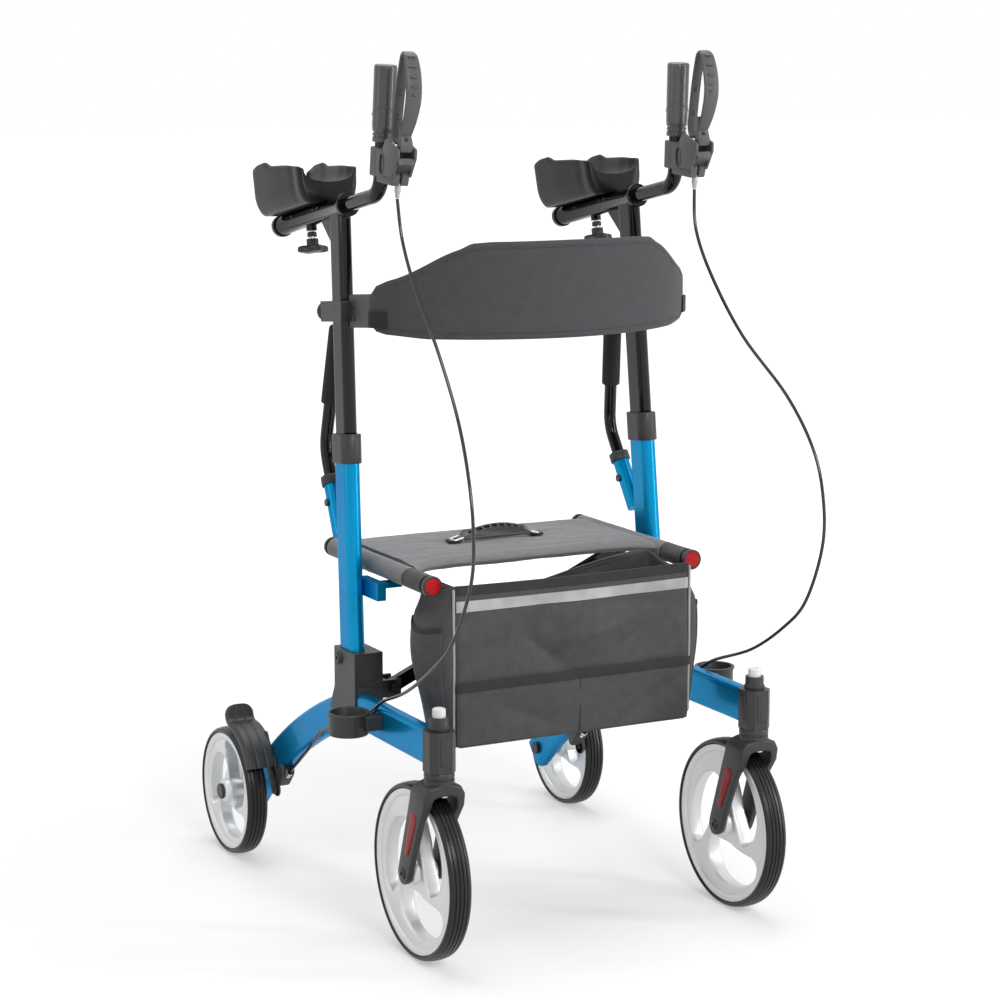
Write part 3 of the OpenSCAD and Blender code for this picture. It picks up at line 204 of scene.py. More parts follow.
BLUE = flake_paint("blue_paint", (0.0, 0.28, 0.56))
TUBE = hard("black_anodised", (0.004, 0.004, 0.0043), 0.1, grain=700, depth=0.00001, strength=0.06,
            rough_vary=0.02, gloss=0.26)
PLASTIC = hard("black_plastic", (0.033, 0.033, 0.0335), 0.42, grain=1300, depth=0.00006, strength=0.35)
GREY = hard("grey_plastic", (0.088, 0.088, 0.088), 0.44, grain=1400, depth=0.00006, strength=0.35)
PADSKIN = hard("pad_skin", (0.007, 0.007, 0.0071), 0.33, grain=1000, depth=0.00008, strength=0.25,
               rough_vary=0.05, gloss=0.2)
GRIPRUB = hard("grip_rubber", (0.07, 0.07, 0.0702), 0.27, grain=1100, depth=0.00006, strength=0.1, gloss=0.6)
FOAM = hard("grip_foam", (0.02, 0.02, 0.021), 0.8, grain=800, depth=0.0003, strength=0.5)
STEEL = hard("bright_steel", (0.62, 0.62, 0.64), 0.25, vary=0.05, metallic=1.0, grain=500, stretch=(1, 6, 1))
DARKSTEEL = hard("dark_bolt", (0.03, 0.03, 0.031), 0.32, metallic=0.5, grain=500)
RIM = hard("silver_rim", (0.8, 0.805, 0.805), 0.38, vary=0.04, metallic=0.45, coat=0.1, grain=300,
           depth=0.00001, strength=0.08)
RUBBER = hard("tyre_rubber", (0.009, 0.009, 0.0095), 0.32, grain=700, depth=0.0001, strength=0.3)
WHITE = hard("white_button", (0.8, 0.81, 0.82), 0.3, vary=0.02)
CLEAR = hard("clear_ferrule", (0.5, 0.51, 0.51), 0.3, vary=0.06)
RED = reflector("red_reflector", (0.72, 0.002, 0.008))
SEATCLOTH = cloth("seat_cloth", (0.2, 0.197, 0.204), 220, axes=("X", "Y"), rough=0.62, sheen=0.2)
BANDCLOTH = cloth("band_cloth", (0.078, 0.073, 0.08), 300, rough=0.8, sheen=0.12, vary=0.12)
BAGCLOTH = cloth("bag_cloth", (0.074, 0.072, 0.071), 240, rough=0.6, sheen=0.08, vary=0.2)
TAPE = cloth("binding_tape", (0.034, 0.0335, 0.031), 420, rough=0.7, sheen=0.08)
WEB = cloth("webbing", (0.016, 0.016, 0.0165), 500, rough=0.6, sheen=0.1)
THREAD = cloth("thread", (0.07, 0.065, 0.072), 900, rough=0.8)
STRIPE = hard("reflective_tape", (0.33, 0.34, 0.34), 0.42, vary=0.3, metallic=0.35, grain=1500, depth=0.00005)
PIPING = hard("piping", (0.36, 0.365, 0.37), 0.45, vary=0.08, metallic=0.2, grain=1500)
CABLE = hard("cable_sheath", (0.007, 0.007, 0.007), 0.16, grain=600, depth=0.00001, strength=0.06, gloss=0.6)


# Mesh building
def loft(rings, caps=True, closed=False):
    n = len(rings[0])
    verts = [tuple(p) for r in rings for p in r]
    faces = []
    for i in range(len(rings) - (0 if closed else 1)):
        j = (i + 1) % len(rings)
        for k in range(n):
            q = (k + 1) % n
            faces.append((i * n + k, i * n + q, j * n + q, j * n + k))
    if caps and not closed:
        faces.append(tuple(range(n - 1, -1, -1)))
        faces.append(tuple((len(rings) - 1) * n + k for k in range(n)))
    return verts, faces


def lathe(profile, n):
    """Turns (radius, height) points about Z. A closed profile starts and ends at radius 0."""
    return loft([[(x, y, z) for x, y in circle(max(r, 0.02), n)] for r, z in profile])


def rod(r, low, high, n):
    return lathe([(0, low), (r, low), (r, high), (0, high)], n)


def rounded(w, h, r, steps):
    pts = []
    r = min(r, w / 2 - 1e-4, h / 2 - 1e-4)
    for cx, cy, a0 in ((1, 1, 0), (-1, 1, 90), (-1, -1, 180), (1, -1, 270)):
        for k in range(steps + 1):
            a = rad(a0 + 90 * k / steps)
            pts.append((cx * (w / 2 - r) + r * cos(a), cy * (h / 2 - r) + r * sin(a)))
    return pts


def circle(r, n):
    return [(r * cos(TAU * k / n), r * sin(TAU * k / n)) for k in range(n)]


def sweep(path, section, closed=False):
    """Sweeps a section of 2D points along path. The section's second axis stays as near upright as it can."""
    path, up = [Vector(p) for p in path], Vector((0, 0, 1))
    rings, last = [], len(path) - 1
    for i, p in enumerate(path):
        a = path[(i - 1) % len(path)] if closed else path[max(i - 1, 0)]
        b = path[(i + 1) % len(path)] if closed else path[min(i + 1, last)]
        t = (b - a).normalized()
        v = up - t * t.dot(up)
        v.normalize()
        u = v.cross(t)
        rings.append([p + u * x + v * y for x, y in section])
    return loft(rings, closed=closed)


def catmull(points, n):
    p = [Vector(q) for q in points]
    last, out = len(p) - 1, []
    for i in range(last):
        a, b, c, d = p[max(i - 1, 0)], p[i], p[i + 1], p[min(i + 2, last)]
        for k in range(n):
            t = k / n
            out.append((2 * b + (c - a) * t + (2 * a - 5 * b + 4 * c - d) * t * t
                        + (3 * b - a - 3 * c + d) * t ** 3) / 2)
    return out + [p[last]]


def tube(path, r, n):
    """A round tube on a path, its frame carried along without twist."""
    path = [Vector(p) for p in path]
    rings, u = [], None
    for i, p in enumerate(path):
        t = (path[min(i + 1, len(path) - 1)] - path[max(i - 1, 0)]).normalized()
        if u is None:
            u = t.orthogonal().normalized()
        u = (u - t * t.dot(u)).normalized()
        v = t.cross(u)
        rings.append([p + u * x + v * y for x, y in circle(r, n)])
    return loft(rings)


def plate(outlines, t, bevel, steps):
    """A flat plate in XY, t thick about Z = 0, with holes and rounded edges. Outlines are (points, is_hole)."""
    curve = bpy.data.curves.new("plate", "CURVE")
    curve.dimensions, curve.fill_mode = "2D", "BOTH"
    curve.extrude, curve.bevel_depth, curve.bevel_resolution = t / 2 - bevel, bevel, steps
    for pts, hole in outlines:
        s = curve.splines.new("POLY")
        s.points.add(len(pts) - 1)
        area = sum(a[0] * b[1] - b[0] * a[1] for a, b in zip(pts, pts[1:] + pts[:1]))
        pts = pts if (area > 0) != hole else pts[::-1]
        for q, p in zip(s.points, inset(pts, bevel)):
            q.co = (p[0], p[1], 0, 1)
        s.use_cyclic_u = True
    obj = bpy.data.objects.new("plate", curve)
    scene.collection.objects.link(obj)
    deps = bpy.context.evaluated_depsgraph_get()
    mesh = bpy.data.meshes.new_from_object(obj.evaluated_get(deps))
    bm = bmesh.new()
    bm.from_mesh(mesh)
    bmesh.ops.remove_doubles(bm, verts=bm.verts, dist=0.01)
    bmesh.ops.recalc_face_normals(bm, faces=bm.faces)
    bm.verts.ensure_lookup_table()
    bm.verts.index_update()
    out = [tuple(v.co) for v in bm.verts], [tuple(v.index for v in f.verts) for f in bm.faces]
    bm.free()
    bpy.data.objects.remove(obj)
    bpy.data.meshes.remove(mesh)
    return out


def inset(pts, d):
    """Moves a closed outline to its left by d, so an outer outline shrinks and a hole drawn backwards grows."""
    out, n = [], len(pts)
    for i in range(n):
        a, b, c = Vector(pts[i - 1]), Vector(pts[i]), Vector(pts[(i + 1) % n])
        e, f = (b - a).normalized(), (c - b).normalized()
        m = Vector((-e.y - f.y, e.x + f.x))
        m = m.normalized() if m.length > 1e-6 else Vector((-e.y, e.x))
        k = max(0.35, m.dot(Vector((-e.y, e.x))))
        out.append(tuple(b + m * (d / k)))
    return out


def slab(outline, t, bevel):
    return plate([(outline, False)], t, bevel, 2)


def bar_outline(a, b, ra, rb, n):
    """Outline of a tapered bar with round ends."""
    a, b = Vector(a), Vector(b)
    d = (b - a).length
    base = atan2(b.y - a.y, b.x - a.x)
    lean = acos((ra - rb) / d)
    pts = []
    for c, r, s, e in ((a, ra, lean, TAU - lean), (b, rb, -lean, lean)):
        for k in range(n + 1):
            g = base + s + (e - s) * k / n
            pts.append((c.x + r * cos(g), c.y + r * sin(g)))
    return pts


def patch_faces(nu, nv, flip=False):
    """Faces of a closed patch: a grid of nu by nv faces, a back with as many points, and the rim between them."""
    n = nu + 1
    m = n * (nv + 1)
    faces = []
    for j in range(nv):
        for c in range(j * n, j * n + nu):
            faces += [(c, c + 1, c + n + 1, c + n), (m + c, m + c + n, m + c + n + 1, m + c + 1)]
    rim = [i for i in range(n)] + [j * n + nu for j in range(1, nv + 1)]
    rim += [nv * n + i for i in range(nu - 1, -1, -1)] + [j * n for j in range(nv - 1, 0, -1)]
    faces += [(a, m + a, m + b, b) for a, b in zip(rim, rim[1:] + rim[:1])]
    return [(f[0], *f[:0:-1]) for f in faces] if flip else faces


def smooth01(x):
    """Eases from 0 to 1."""
    x = min(1.0, max(0.0, x))
    return x * x * (3 - 2 * x)


class Build:
    """Collects shapes in millimetres of the left side, then makes one piece that rides on a body.
    With a side given, the names of piece, body and nodes end in it, and the right side is mirrored."""

    def __init__(self, name, mat, side=None):
        self.end = f"_{side}" if side else ""
        self.name, self.mat, self.sign = name + self.end, mat, SIDES.get(side, 1)
        self.verts, self.faces = [], []

    def add(self, shape, m=Matrix.Identity(4)):
        verts, faces = shape
        base, flip = len(self.verts), (m.to_3x3().determinant() < 0) != (self.sign < 0)
        for v in verts:
            p = m @ Vector(v)
            self.verts.append((p.x * self.sign * MM, p.y * MM, p.z * MM))
        for f in faces:
            f = tuple(base + i for i in f)
            self.faces.append(f[::-1] if flip else f)
        return self

    def done(self, body, slot, replaces=(), angle=38, weld=False, blend=None):
        mesh = bpy.data.meshes.new(self.name)
        mesh.from_pydata(self.verts, [], self.faces)
        if weld:
            bm = bmesh.new()
            bm.from_mesh(mesh)
            bmesh.ops.remove_doubles(bm, verts=bm.verts, dist=2e-5)
            bm.to_mesh(mesh)
            bm.free()
        mesh.validate()
        mesh.polygons.foreach_set("use_smooth", [True] * len(mesh.polygons))
        mesh.set_sharp_from_angle(angle=rad(angle))
        mesh.materials.append(self.mat)
        obj = bpy.data.objects.new(self.name, mesh)
        scene.collection.objects.link(obj)
        if blend:
            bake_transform(obj)
        else:
            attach(obj, body + self.end)
        if replaces:
            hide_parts(*(n + self.end for n in replaces))
        return obj


def dress(name, mat, bevel=0.0):
    """Gives a CAD node its material, and softens its edges."""
    o = NODES[name]
    o.data.materials.clear()
    o.data.materials.append(mat)
    if bevel:
        w = o.modifiers.new("weld", "WELD")
        w.merge_threshold = 0.00002
        b = o.modifiers.new("edges", "BEVEL")
        b.width, b.segments, b.limit_method, b.angle_limit = bevel, 2, "ANGLE", rad(32)
        b.harden_normals = b.use_clamp_overlap = True


# Camera, floor and light
CAMERA_AT, CAMERA_TURN, LENS = (-1.8487, -3.56705, 1.2915), (80.12, 0, -27.58), 97.1
FLOOR_SHADES = (0.6, 0.62)
# How strongly the floor is shown as white, near the walker and beyond FAR metres
NEAR, FAR, NEAR_GLOW, FAR_GLOW = 0.7, 2.8, 0.42, 0.9
WORLD_LIGHT, WORLD_SHOWN = 0.3, 1.0
WHITE_RGBA = (1, 1, 1, 1)
# Area lamps: name, place, target, size in metres, watts
LAMPS = (("key", (-0.2, -3.8, 2.6), (0, 0, 0.6), (1.2, 1.0), 72),
         ("strip", (2.6, -2.2, 1.5), (0, 0, 0.7), (0.1, 2.6), 40),
         ("side", (-3.4, 0.2, 1.6), (0, 0, 0.6), (0.3, 2.4), 9),
         ("top", (0, 0.6, 3.6), (0, 0, 0.5), (3.0, 2.2), 64))
cam = bpy.data.cameras.new("camera")
cam.sensor_width, cam.lens = 36.0, LENS
camera = bpy.data.objects.new("camera", cam)
camera.location = CAMERA_AT
camera.rotation_euler = [rad(a) for a in CAMERA_TURN]
scene.collection.objects.link(camera)
scene.camera = camera
scene.view_settings.view_transform = "Standard"


def seen_rays(t):
    """1 for the rays that show the background: straight from the camera, or by a mirror or glass."""
    path = t.nodes.new("ShaderNodeLightPath").outputs
    bright = mix_math(t, "MAXIMUM", path["Is Camera Ray"], path["Is Glossy Ray"])
    return mix_math(t, "MAXIMUM", bright, path["Is Transmission Ray"])


floor_mat, ft, fb, fco = node_tree("floor")
away = node(ft, "VectorMath", {0: fco})
away.operation = "LENGTH"
glow = node(ft, "MapRange", {"Value": away.outputs["Value"], "From Min": NEAR, "From Max": FAR,
                             "To Min": NEAR_GLOW, "To Max": FAR_GLOW})
dark, pale = [(shade,) * 3 for shade in FLOOR_SHADES]
put(ft, fb, {"Base Color": ramp(ft, noise_tex(ft, fco, 3, 2), (0.3, dark), (0.7, pale)), "Roughness": 0.9,
             "Emission Color": WHITE_RGBA,
             "Emission Strength": mix_math(ft, "MULTIPLY", seen_rays(ft), glow.outputs[0])})
bpy.ops.mesh.primitive_grid_add(x_subdivisions=8, y_subdivisions=8, size=60)
floor = bpy.context.object
floor.name = "floor"
floor.data.materials.append(floor_mat)

world = bpy.data.worlds.new("studio")
scene.world = world
world.use_nodes = True
wt = world.node_tree
wt.nodes.clear()
soft, shown = [node(wt, "Background", {0: WHITE_RGBA, 1: strength}) for strength in (WORLD_LIGHT, WORLD_SHOWN)]
sky = node(wt, "MixShader", {0: seen_rays(wt), 1: soft.outputs[0], 2: shown.outputs[0]})
wt.links.new(sky.outputs[0], wt.nodes.new("ShaderNodeOutputWorld").inputs[0])

for name, place, target, size, power in LAMPS:
    lamp = bpy.data.lights.new(name, "AREA")
    lamp.shape, lamp.energy = "RECTANGLE", power
    lamp.size, lamp.size_y = size
    o = bpy.data.objects.new(name, lamp)
    o.location = place
    o.rotation_euler = (Vector(target) - Vector(place)).to_track_quat("-Z", "Y").to_euler()
    scene.collection.objects.link(o)


# Brake cables
ROUTE = [(238, -192, 1004), (239, -235, 940), (243, -314, 860), (260, -405, 783), (271, -458, 712), (275, -479, 645),
         (277, -476, 575), (281, -432, 490), (283, -374, 440), (283, -290, 390), (276, -200, 356), (273, -160, 334),
         (273, -90, 297), (273, -30, 282), (273, 25, 260), (272, 55, 236), (266, 95, 212)]
CABLE_TOP = (240.6947, -181.62, 1062.058)
ADJUSTER, ADJUSTER_TILT, CABLE_SEAT = (262, 174, 158), 37, 0.8
WAY = Vector((0, -cos(rad(ADJUSTER_TILT)), sin(rad(ADJUSTER_TILT))))
CABLE_END = Vector(ADJUSTER) + WAY * CABLE_SEAT
route = [CABLE_TOP, *ROUTE, CABLE_END + WAY * 17, CABLE_END]
# The upper piece ends at this point of the route, with STEPS points on each span
SPLIT, STEPS = 4, 8
line = catmull(route, STEPS)
upper, lower = line[: SPLIT * STEPS + 1], line[SPLIT * STEPS:]


for s, k in SIDES.items():
    for name, path, bodies in (("cable_upper", upper, (f"post_{s}", f"handle_{s}")),
                               ("cable_lower", lower, (f"side_{s}", f"post_{s}"))):
        world_path = [(p[0] * k * MM, p[1] * MM, p[2] * MM) for p in path]
        o = Build(name, CABLE, s).add(tube(path, 2.5, 10)).done(
            None, "cable", ["brake_cable"], blend=(*bodies, world_path[-1], world_path[0]))


# Wheels
TYRE_T, TYRE_HALF, TREAD_HALF, TREAD_STEPS, CROWN = 9.0, 17.0, 12.5, 64, 1.4
GROOVES, GROOVE_HALF, GROOVE_DEPTH = (-9.0, -3.0, 3.0, 9.0), 1.2, 1.7
# One opening of the rim: turn in degrees and share of the rim's radius
OPENING = [(214, 0.43), (226, 0.56), (238, 0.655), (255, 0.735), (275, 0.785), (295, 0.825), (312, 0.862), (324, 0.868),
           (332, 0.81), (333, 0.7), (327, 0.56), (314, 0.4), (293, 0.27), (262, 0.245), (234, 0.3)]
HUB_CAP = [(0, 20.2), (11.5, 20.2), (12.5, 21.2), (12.3, 24.6), (10.5, 25.6), (8, 25.0), (0, 24.8)]


def closed_curve(pts):
    """A smooth closed curve through points of a plane, with six steps to a span."""
    pts = [(x, y, 0) for x, y in pts]
    return [(v.x, v.y) for v in catmull(pts[-2:] + pts + pts[:3], 6)[12:-13]]


def mirrored(profile):
    return [(r, -z) for r, z in reversed(profile)]


def ring_shape(profile, n):
    """Turns an open profile about Z into a closed ring."""
    return loft([[(r * x, r * y, z) for r, z in profile] for x, y in circle(1, n)], closed=True)


def tyre_profile(r):
    tread = []
    for i in range(TREAD_STEPS + 1):
        z = -TREAD_HALF + 2 * TREAD_HALF * i / TREAD_STEPS
        dip = max(max(0.0, 1 - ((z - g) / GROOVE_HALF) ** 4) for g in GROOVES)
        tread.append((r - CROWN * (z / TREAD_HALF) ** 2 - GROOVE_DEPTH * dip, z))
    q = r - TYRE_T
    side = [(q + 0.3, 3.4), (q + 1.4, 1.2), (q + 3.2, 0.2), (r - 4.4, 0.5), (r - 2.8, 1.8), (r - 1.9, 3.6)]
    side = [(x, z - TYRE_HALF) for x, z in side]
    return side + tread + mirrored(side)


def opening(r, a):
    return closed_curve([(-q * r * sin(rad(g + a)), -q * r * cos(rad(g + a))) for g, q in OPENING])


def wheel(prefix, s, place, r, length):
    m = place @ turn(90, "Y")
    body = f"{prefix}_wheel"
    Build(f"{prefix}_tread", RUBBER, s).add(ring_shape(tyre_profile(r), 128), m).done(
        body, "tyre", [f"{prefix}_tyre"], angle=50)
    rim_r, half = r - TYRE_T, length / 2
    holes = [(opening(rim_r, a), True) for a in (0, 120, 240)]
    flange = [(11, -8), (10.4, -11.8), (8, -14.4), (4, -15.2), (0.4, -14.8), (0.1, -13.6)]
    flange = [(rim_r - q, z) for q, z in flange]
    hub = [(0, -half), (15, -half), (17, -half + 1.5), (18.5, -half + 5), (20, -10)]
    b = Build(f"{prefix}_spokes", RIM, s)
    b.add(plate([(circle(rim_r - 4, 120), False), *holes], 23, 4.6, 4), m)
    b.add(ring_shape(flange + mirrored(flange), 120), m)
    b.add(lathe(hub + mirrored(hub), 48), m)
    b.done(body, "rim", [f"{prefix}_rim"], angle=42)


for s in SIDES:
    wheel("front", s, FRONT, FRONT_R, 38.0)
    wheel("rear", s, REAR, REAR_R, 40.0)
    Build("rear_hub_cap", PLASTIC, s).add(lathe(HUB_CAP, 32), REAR @ turn(90, "Y")).done("side", "black_plastic")

# Caster forks
AXLE, BLADE_TOP = Vector((0, FRONT_Y, FRONT_R)), Vector((0, -330.75, 248.8))
STEM_RING = [(0, 262), (21.2, 262), (21.5, 263.5), (21.5, 275), (20.2, 276), (20.2, 277.4), (21.5, 278.2), (21.5, 284),
             (20.6, 285.4), (0, 285.4)]
AXLE_HEAD = [(3.2, 28.8), (3.4, 31.6), (7.4, 31.6), (8.6, 30.8), (9.2, 28.8), (3.2, 28.8)]


def fork_rings():
    """Stations of an inverted U: centre, outward normal, depth direction, thickness, depth."""
    up = (BLADE_TOP - AXLE).normalized()
    w = Vector((1, 0, 0)).cross(up)
    w = w if w.y > 0 else -w
    length = (BLADE_TOP - AXLE).length
    out, left = Vector((-1, 0, 0)), Vector((-25.5, 0, 0))
    half = []
    for q in (-15.6, -14.2, -11.4, -7.4, -3.0):
        half.append((left + AXLE + up * q, out, w, 8.4, 2 * sqrt(16 * 16 - q * q)))
    for f in (0.06, 0.2, 0.4, 0.6, 0.76):
        half.append((left + AXLE + up * (length * f), out, w, 9 + 1.5 * f, 32 + 11 * f))
    for x, z, nx, nz, t, h in ((-26.0, 241, -0.98, 0.2, 12.4, 46), (-24.8, 251.5, -0.86, 0.5, 15.6, 49),
                               (-20.6, 258.4, -0.5, 0.87, 17.6, 50), (-11.0, 261.6, -0.1, 0.99, 17.4, 50.6)):
        dirw = w.lerp(Vector((0, 1, 0)), min(1, (z - 232) / 22)).normalized()
        half.append((Vector((x, -333.6 + 0.2 * (250 - z), z)), Vector((nx, 0, nz)).normalized(), dirw, t, h))
    mid = (Vector((0, -334.4, 261.9)), Vector((0, 0, 1)), Vector((0, 1, 0)), 17.6, 50.8)
    other = [(Vector((-c.x, c.y, c.z)), Vector((-n.x, n.y, n.z)), d, t, h) for c, n, d, t, h in reversed(half)]
    return half + [mid] + other


def fork_shape():
    return loft([[c + n * x + d * y for x, y in rounded(t, h, min(t, h) * 0.26, 4)] for c, n, d, t, h in fork_rings()])


for s in SIDES:
    b = Build("fork", PLASTIC, s).add(fork_shape(), shift(SIDE_X, 0, 0)).add(lathe(STEM_RING, 48), STEM)
    b.done("caster", "black_plastic", ["caster_fork"], angle=40, weld=True)
    bolts, nut, red = Build("fork_bolts", DARKSTEEL, s), Build("fork_nut", STEEL, s), Build("fork_reflector", RED, s)
    nut.add(rod(6, -29.0, 29.0, 24), FRONT @ turn(90, "Y"))
    nut.add(lathe([(0, 251.4), (6.4, 251.4), (7.2, 252.2), (7.2, 254.4), (0, 254.4)], 6), STEM @ shift(0, -12, 0))
    slope = degrees(atan2(49, 121.8))
    strip = slab(bar_outline((0, 38), (0, 96), 5.0, 9.5, 12), 1.8, 0.7)
    for e in (1, -1):
        bolts.add(lathe(AXLE_HEAD, 32), FRONT @ turn(90 * e, "Y")).add(rod(4, 28.6, 30.4, 6), FRONT @ turn(90 * e, "Y"))
        outward = Matrix(((0, 0, e, 0), (1, 0, 0, 0), (0, 1, 0, 0), (0, 0, 0, 1)))
        red.add(strip, FRONT @ turn(slope, "X") @ shift(e * 30.7, -1, 0) @ outward)
    for piece in (bolts, nut, red):
        piece.done("caster", "steel")

# Caster housings, buttons
HOUSING_RING = [(14.9, 345.2), (15.2, 346), (15.2, 349), (14.4, 350), (13.4, 350), (13.4, 345.2), (14.9, 345.2)]
BUTTON = [(0, 355), (9.4, 355), (9.5, 372.4), (9.0, 373.8), (7.6, 374.6), (6.6, 374.2), (0, 373.9)]
for s in SIDES:
    b = Build("housing_ribs", PLASTIC, s)
    for a in (0, 180, 270):
        panel = slab(rounded(15, 40, 3, 4), 3.0, 1.2)
        b.add(panel, STEM @ shift(0, 0, 316) @ turn(a, "Z") @ shift(0, -19.6, 0) @ turn(90, "X"))
    b.add(lathe(HOUSING_RING, 40), STEM).done("side", "black_plastic")
    Build("button_cap", WHITE, s).add(lathe(BUTTON, 40), STEM).done("button", "button", ["release_button"])

# Frame nodes that stay as CAD solids: material, and width of their softened edges in metres
AS_CAD = {"caster_housing": (PLASTIC, 0.0012), "lower_rail": (BLUE,), "upright_tube": (BLUE,),
          "base_hub": (PLASTIC, 0.0022), "frame_collars": (PLASTIC, 0.001), "cane_holder": (PLASTIC, 0.0009),
          "push_handle": (TUBE,), "side_bolts": (DARKSTEEL, 0.0006), "arm_post": (TUBE, 0.0006),
          "handle_tube": (TUBE,), "back_clamp": (PLASTIC, 0.0012), "brake_arm": (PLASTIC, 0.0008)}
for s in SIDES:
    for name, look in AS_CAD.items():
        dress(f"{name}_{s}", *look)
for name in ("brace_a", "brace_b"):
    dress(name, TUBE, 0.0006)

# Hub: a socket screw in a round recess, the front panel and its line, and the brake adjuster's bright sleeve
HUB_RECESS = [(7.4, -0.6), (7.6, 2.6), (8.4, 3.4), (9.8, 2.2), (10.4, -0.6), (7.4, -0.6)]
HUB_SCREW = [(2.8, 2.6), (3.0, 4.2), (6.4, 4.2), (7.2, 3.4), (7.2, -0.4), (2.8, -0.4)]
SLEEVE = [(0, 0.2), (4.0, 0.2), (5.3, 0.8), (5.3, 5.0), (4.4, 5.4), (4.4, 6.6), (5.3, 7.0), (5.3, 13.0), (0, 13.0)]
for s in SIDES:
    out = HUB @ shift(14, 20, 70) @ turn(90, "Y")
    front = HUB @ shift(-8, -34, 0) @ turn(90, "X")
    b = Build("hub_trim", PLASTIC, s).add(lathe(HUB_RECESS, 32), out)
    line = plate([(rounded(34, 40, 3, 4), False), (rounded(30, 36, 2, 4), True)], 1.6, 0.6, 2)
    b.add(line, front @ shift(0, 60, 0.4))
    b.add(slab(rounded(36, 44, 3, 4), 2.4, 0.9), front @ shift(0, 12, 0.4))
    b.done("side", "black_plastic")
    Build("hub_screws", DARKSTEEL, s).add(lathe(HUB_SCREW, 32), out).done("side", "steel")
    b = Build("brake_adjuster", STEEL, s).add(lathe(SLEEVE, 24), shift(*ADJUSTER) @ turn(-90 - ADJUSTER_TILT, "X"))
    b.done("side", "steel")

# Red caps on the seat rails
RAIL_RED = [(0, -1), (12.2, -1), (12.2, 0.8), (11.4, 1.5), (0, 1.9)]
RAIL_RING = [(12.3, -7.4), (14.9, -7.4), (15.0, 0.6), (14.2, 1.5), (12.6, 1.4), (12.3, 0.6), (12.3, -7.4)]
RAILS = (("brace_a", SEAT_X), ("brace_b", -SEAT_X))
for body, x in RAILS:
    face = shift(x, RAIL_Y - 8, SEAT_Z) @ turn(90, "X")
    Build(f"rail_reflector_{body}", RED).add(lathe(RAIL_RED, 40), face).done(body, "steel")
    Build(f"rail_cap_{body}", PLASTIC).add(lathe(RAIL_RING, 48), face).done(body, "black_plastic")

# Hand grips, levers and brackets
BR_LOW = 32 * tan(rad(37.5)) + 1
BR_HIGH = BR_LOW + 40
GRIP_LOW, GRIP_L, SEAM_R = BR_HIGH + 7, 107.0, 16.05
GRIP = [(r, GRIP_LOW + z) for r, z in (
    (0, 0.2), (14.0, 0.2), (15.0, 1.2), (15.0, 6.2), (13.6, 7.0), (13.6, 8.4), (14.8, 9.2), (14.8, 12.0), (13.6, 12.8),
    (13.6, 14.2), (15.4, 16.0), (15.8, 22), (16, 60))]
GRIP += [(r, GRIP_LOW + GRIP_L - z) for r, z in ((16.2, 12), (16.3, 4), (15.6, 1.2), (14, 0.2), (0, 0))]
# The lever's loop: the middle of its strip in the handle's (y, z) plane
LEVER = closed_curve([
    (-69, 200.5), (-78, 196), (-84.5, 183), (-90, 167), (-92.8, 150), (-91.5, 134), (-86, 116), (-79, 100), (-70.5, 86),
    (-60, 78), (-49, 79), (-43.6, 89), (-44.2, 104), (-46.6, 124), (-49.6, 146), (-54, 170), (-59, 191), (-62.5, 198)])
# Its root: y, z, width and thickness
LEVER_ROOT = ((-70.5, 108, 16, 4.6), (-70.6, 98, 16.5, 5), (-71, 89, 17.5, 7), (-72, 81, 19, 11), (-73, 73, 20.4, 14),
              (-73, 66.5, 19.5, 9))
# Its ridges: height and width; and a ridge's section: share of its size and how far it stands out
RIDGES, RIDGE = ((197, 12), (184, 15), (170, 13), (157, 11), (146, 9)), ((1, -1.8), (0.98, 0.8), (0.8, 1.8), (0.4, 2.2))
FERRULE = [(0, 1.1), (2.6, 1.1), (3.2, 3), (3.4, 8), (4.4, 9.5), (4.6, 12), (4.2, 13.5), (4.2, 21.4), (0, 21.4)]
# The bracket's collar: height and share of its section
COLLAR = ((BR_LOW, 0.95), (BR_LOW + 1.4, 1), (BR_HIGH - 1.4, 1), (BR_HIGH, 0.95))
CHEEK = [(-33, BR_LOW + 5), (-33, 70), (-40, 81), (-44, 82), (-79, 71.5), (-81, 69), (-81, 58), (-66, BR_LOW + 5)]
# The bridge behind the lever's root, and the cable stop with its slot: outline, thickness, bevel and places
BRIDGE = (
    ([(-10, BR_LOW + 6), (-10, BR_HIGH - 3), (-34, BR_HIGH - 3), (-48, 52), (-78, 58), (-81, 50), (-62, BR_LOW + 10)],
     24, 1.2, (0,)),
    ([(-8, BR_LOW + 0.6), (-8, BR_HIGH - 0.6), (-36, BR_HIGH - 0.6), (-38, BR_LOW + 0.6)], 27.4, 1.4, (0,)),
    ([(-11, 18.5), (-11, BR_LOW + 12), (-62, BR_LOW + 12), (-66, BR_LOW + 8), (-62, 18.5)], 11.2, 1.4, (-7.2, 7.2)),
    ([(-11, 21), (-11, BR_LOW + 11), (-58, BR_LOW + 11), (-58, 21)], 10, 1.0, (0,)))
TO_X = Matrix(((0, 0, 1, 0), (1, 0, 0, 0), (0, 1, 0, 0), (0, 0, 0, 1)))


def lever_near(z):
    """Where the loop's strip lies near this height."""
    return [y for y, q in LEVER if abs(q - z) < 3.5]


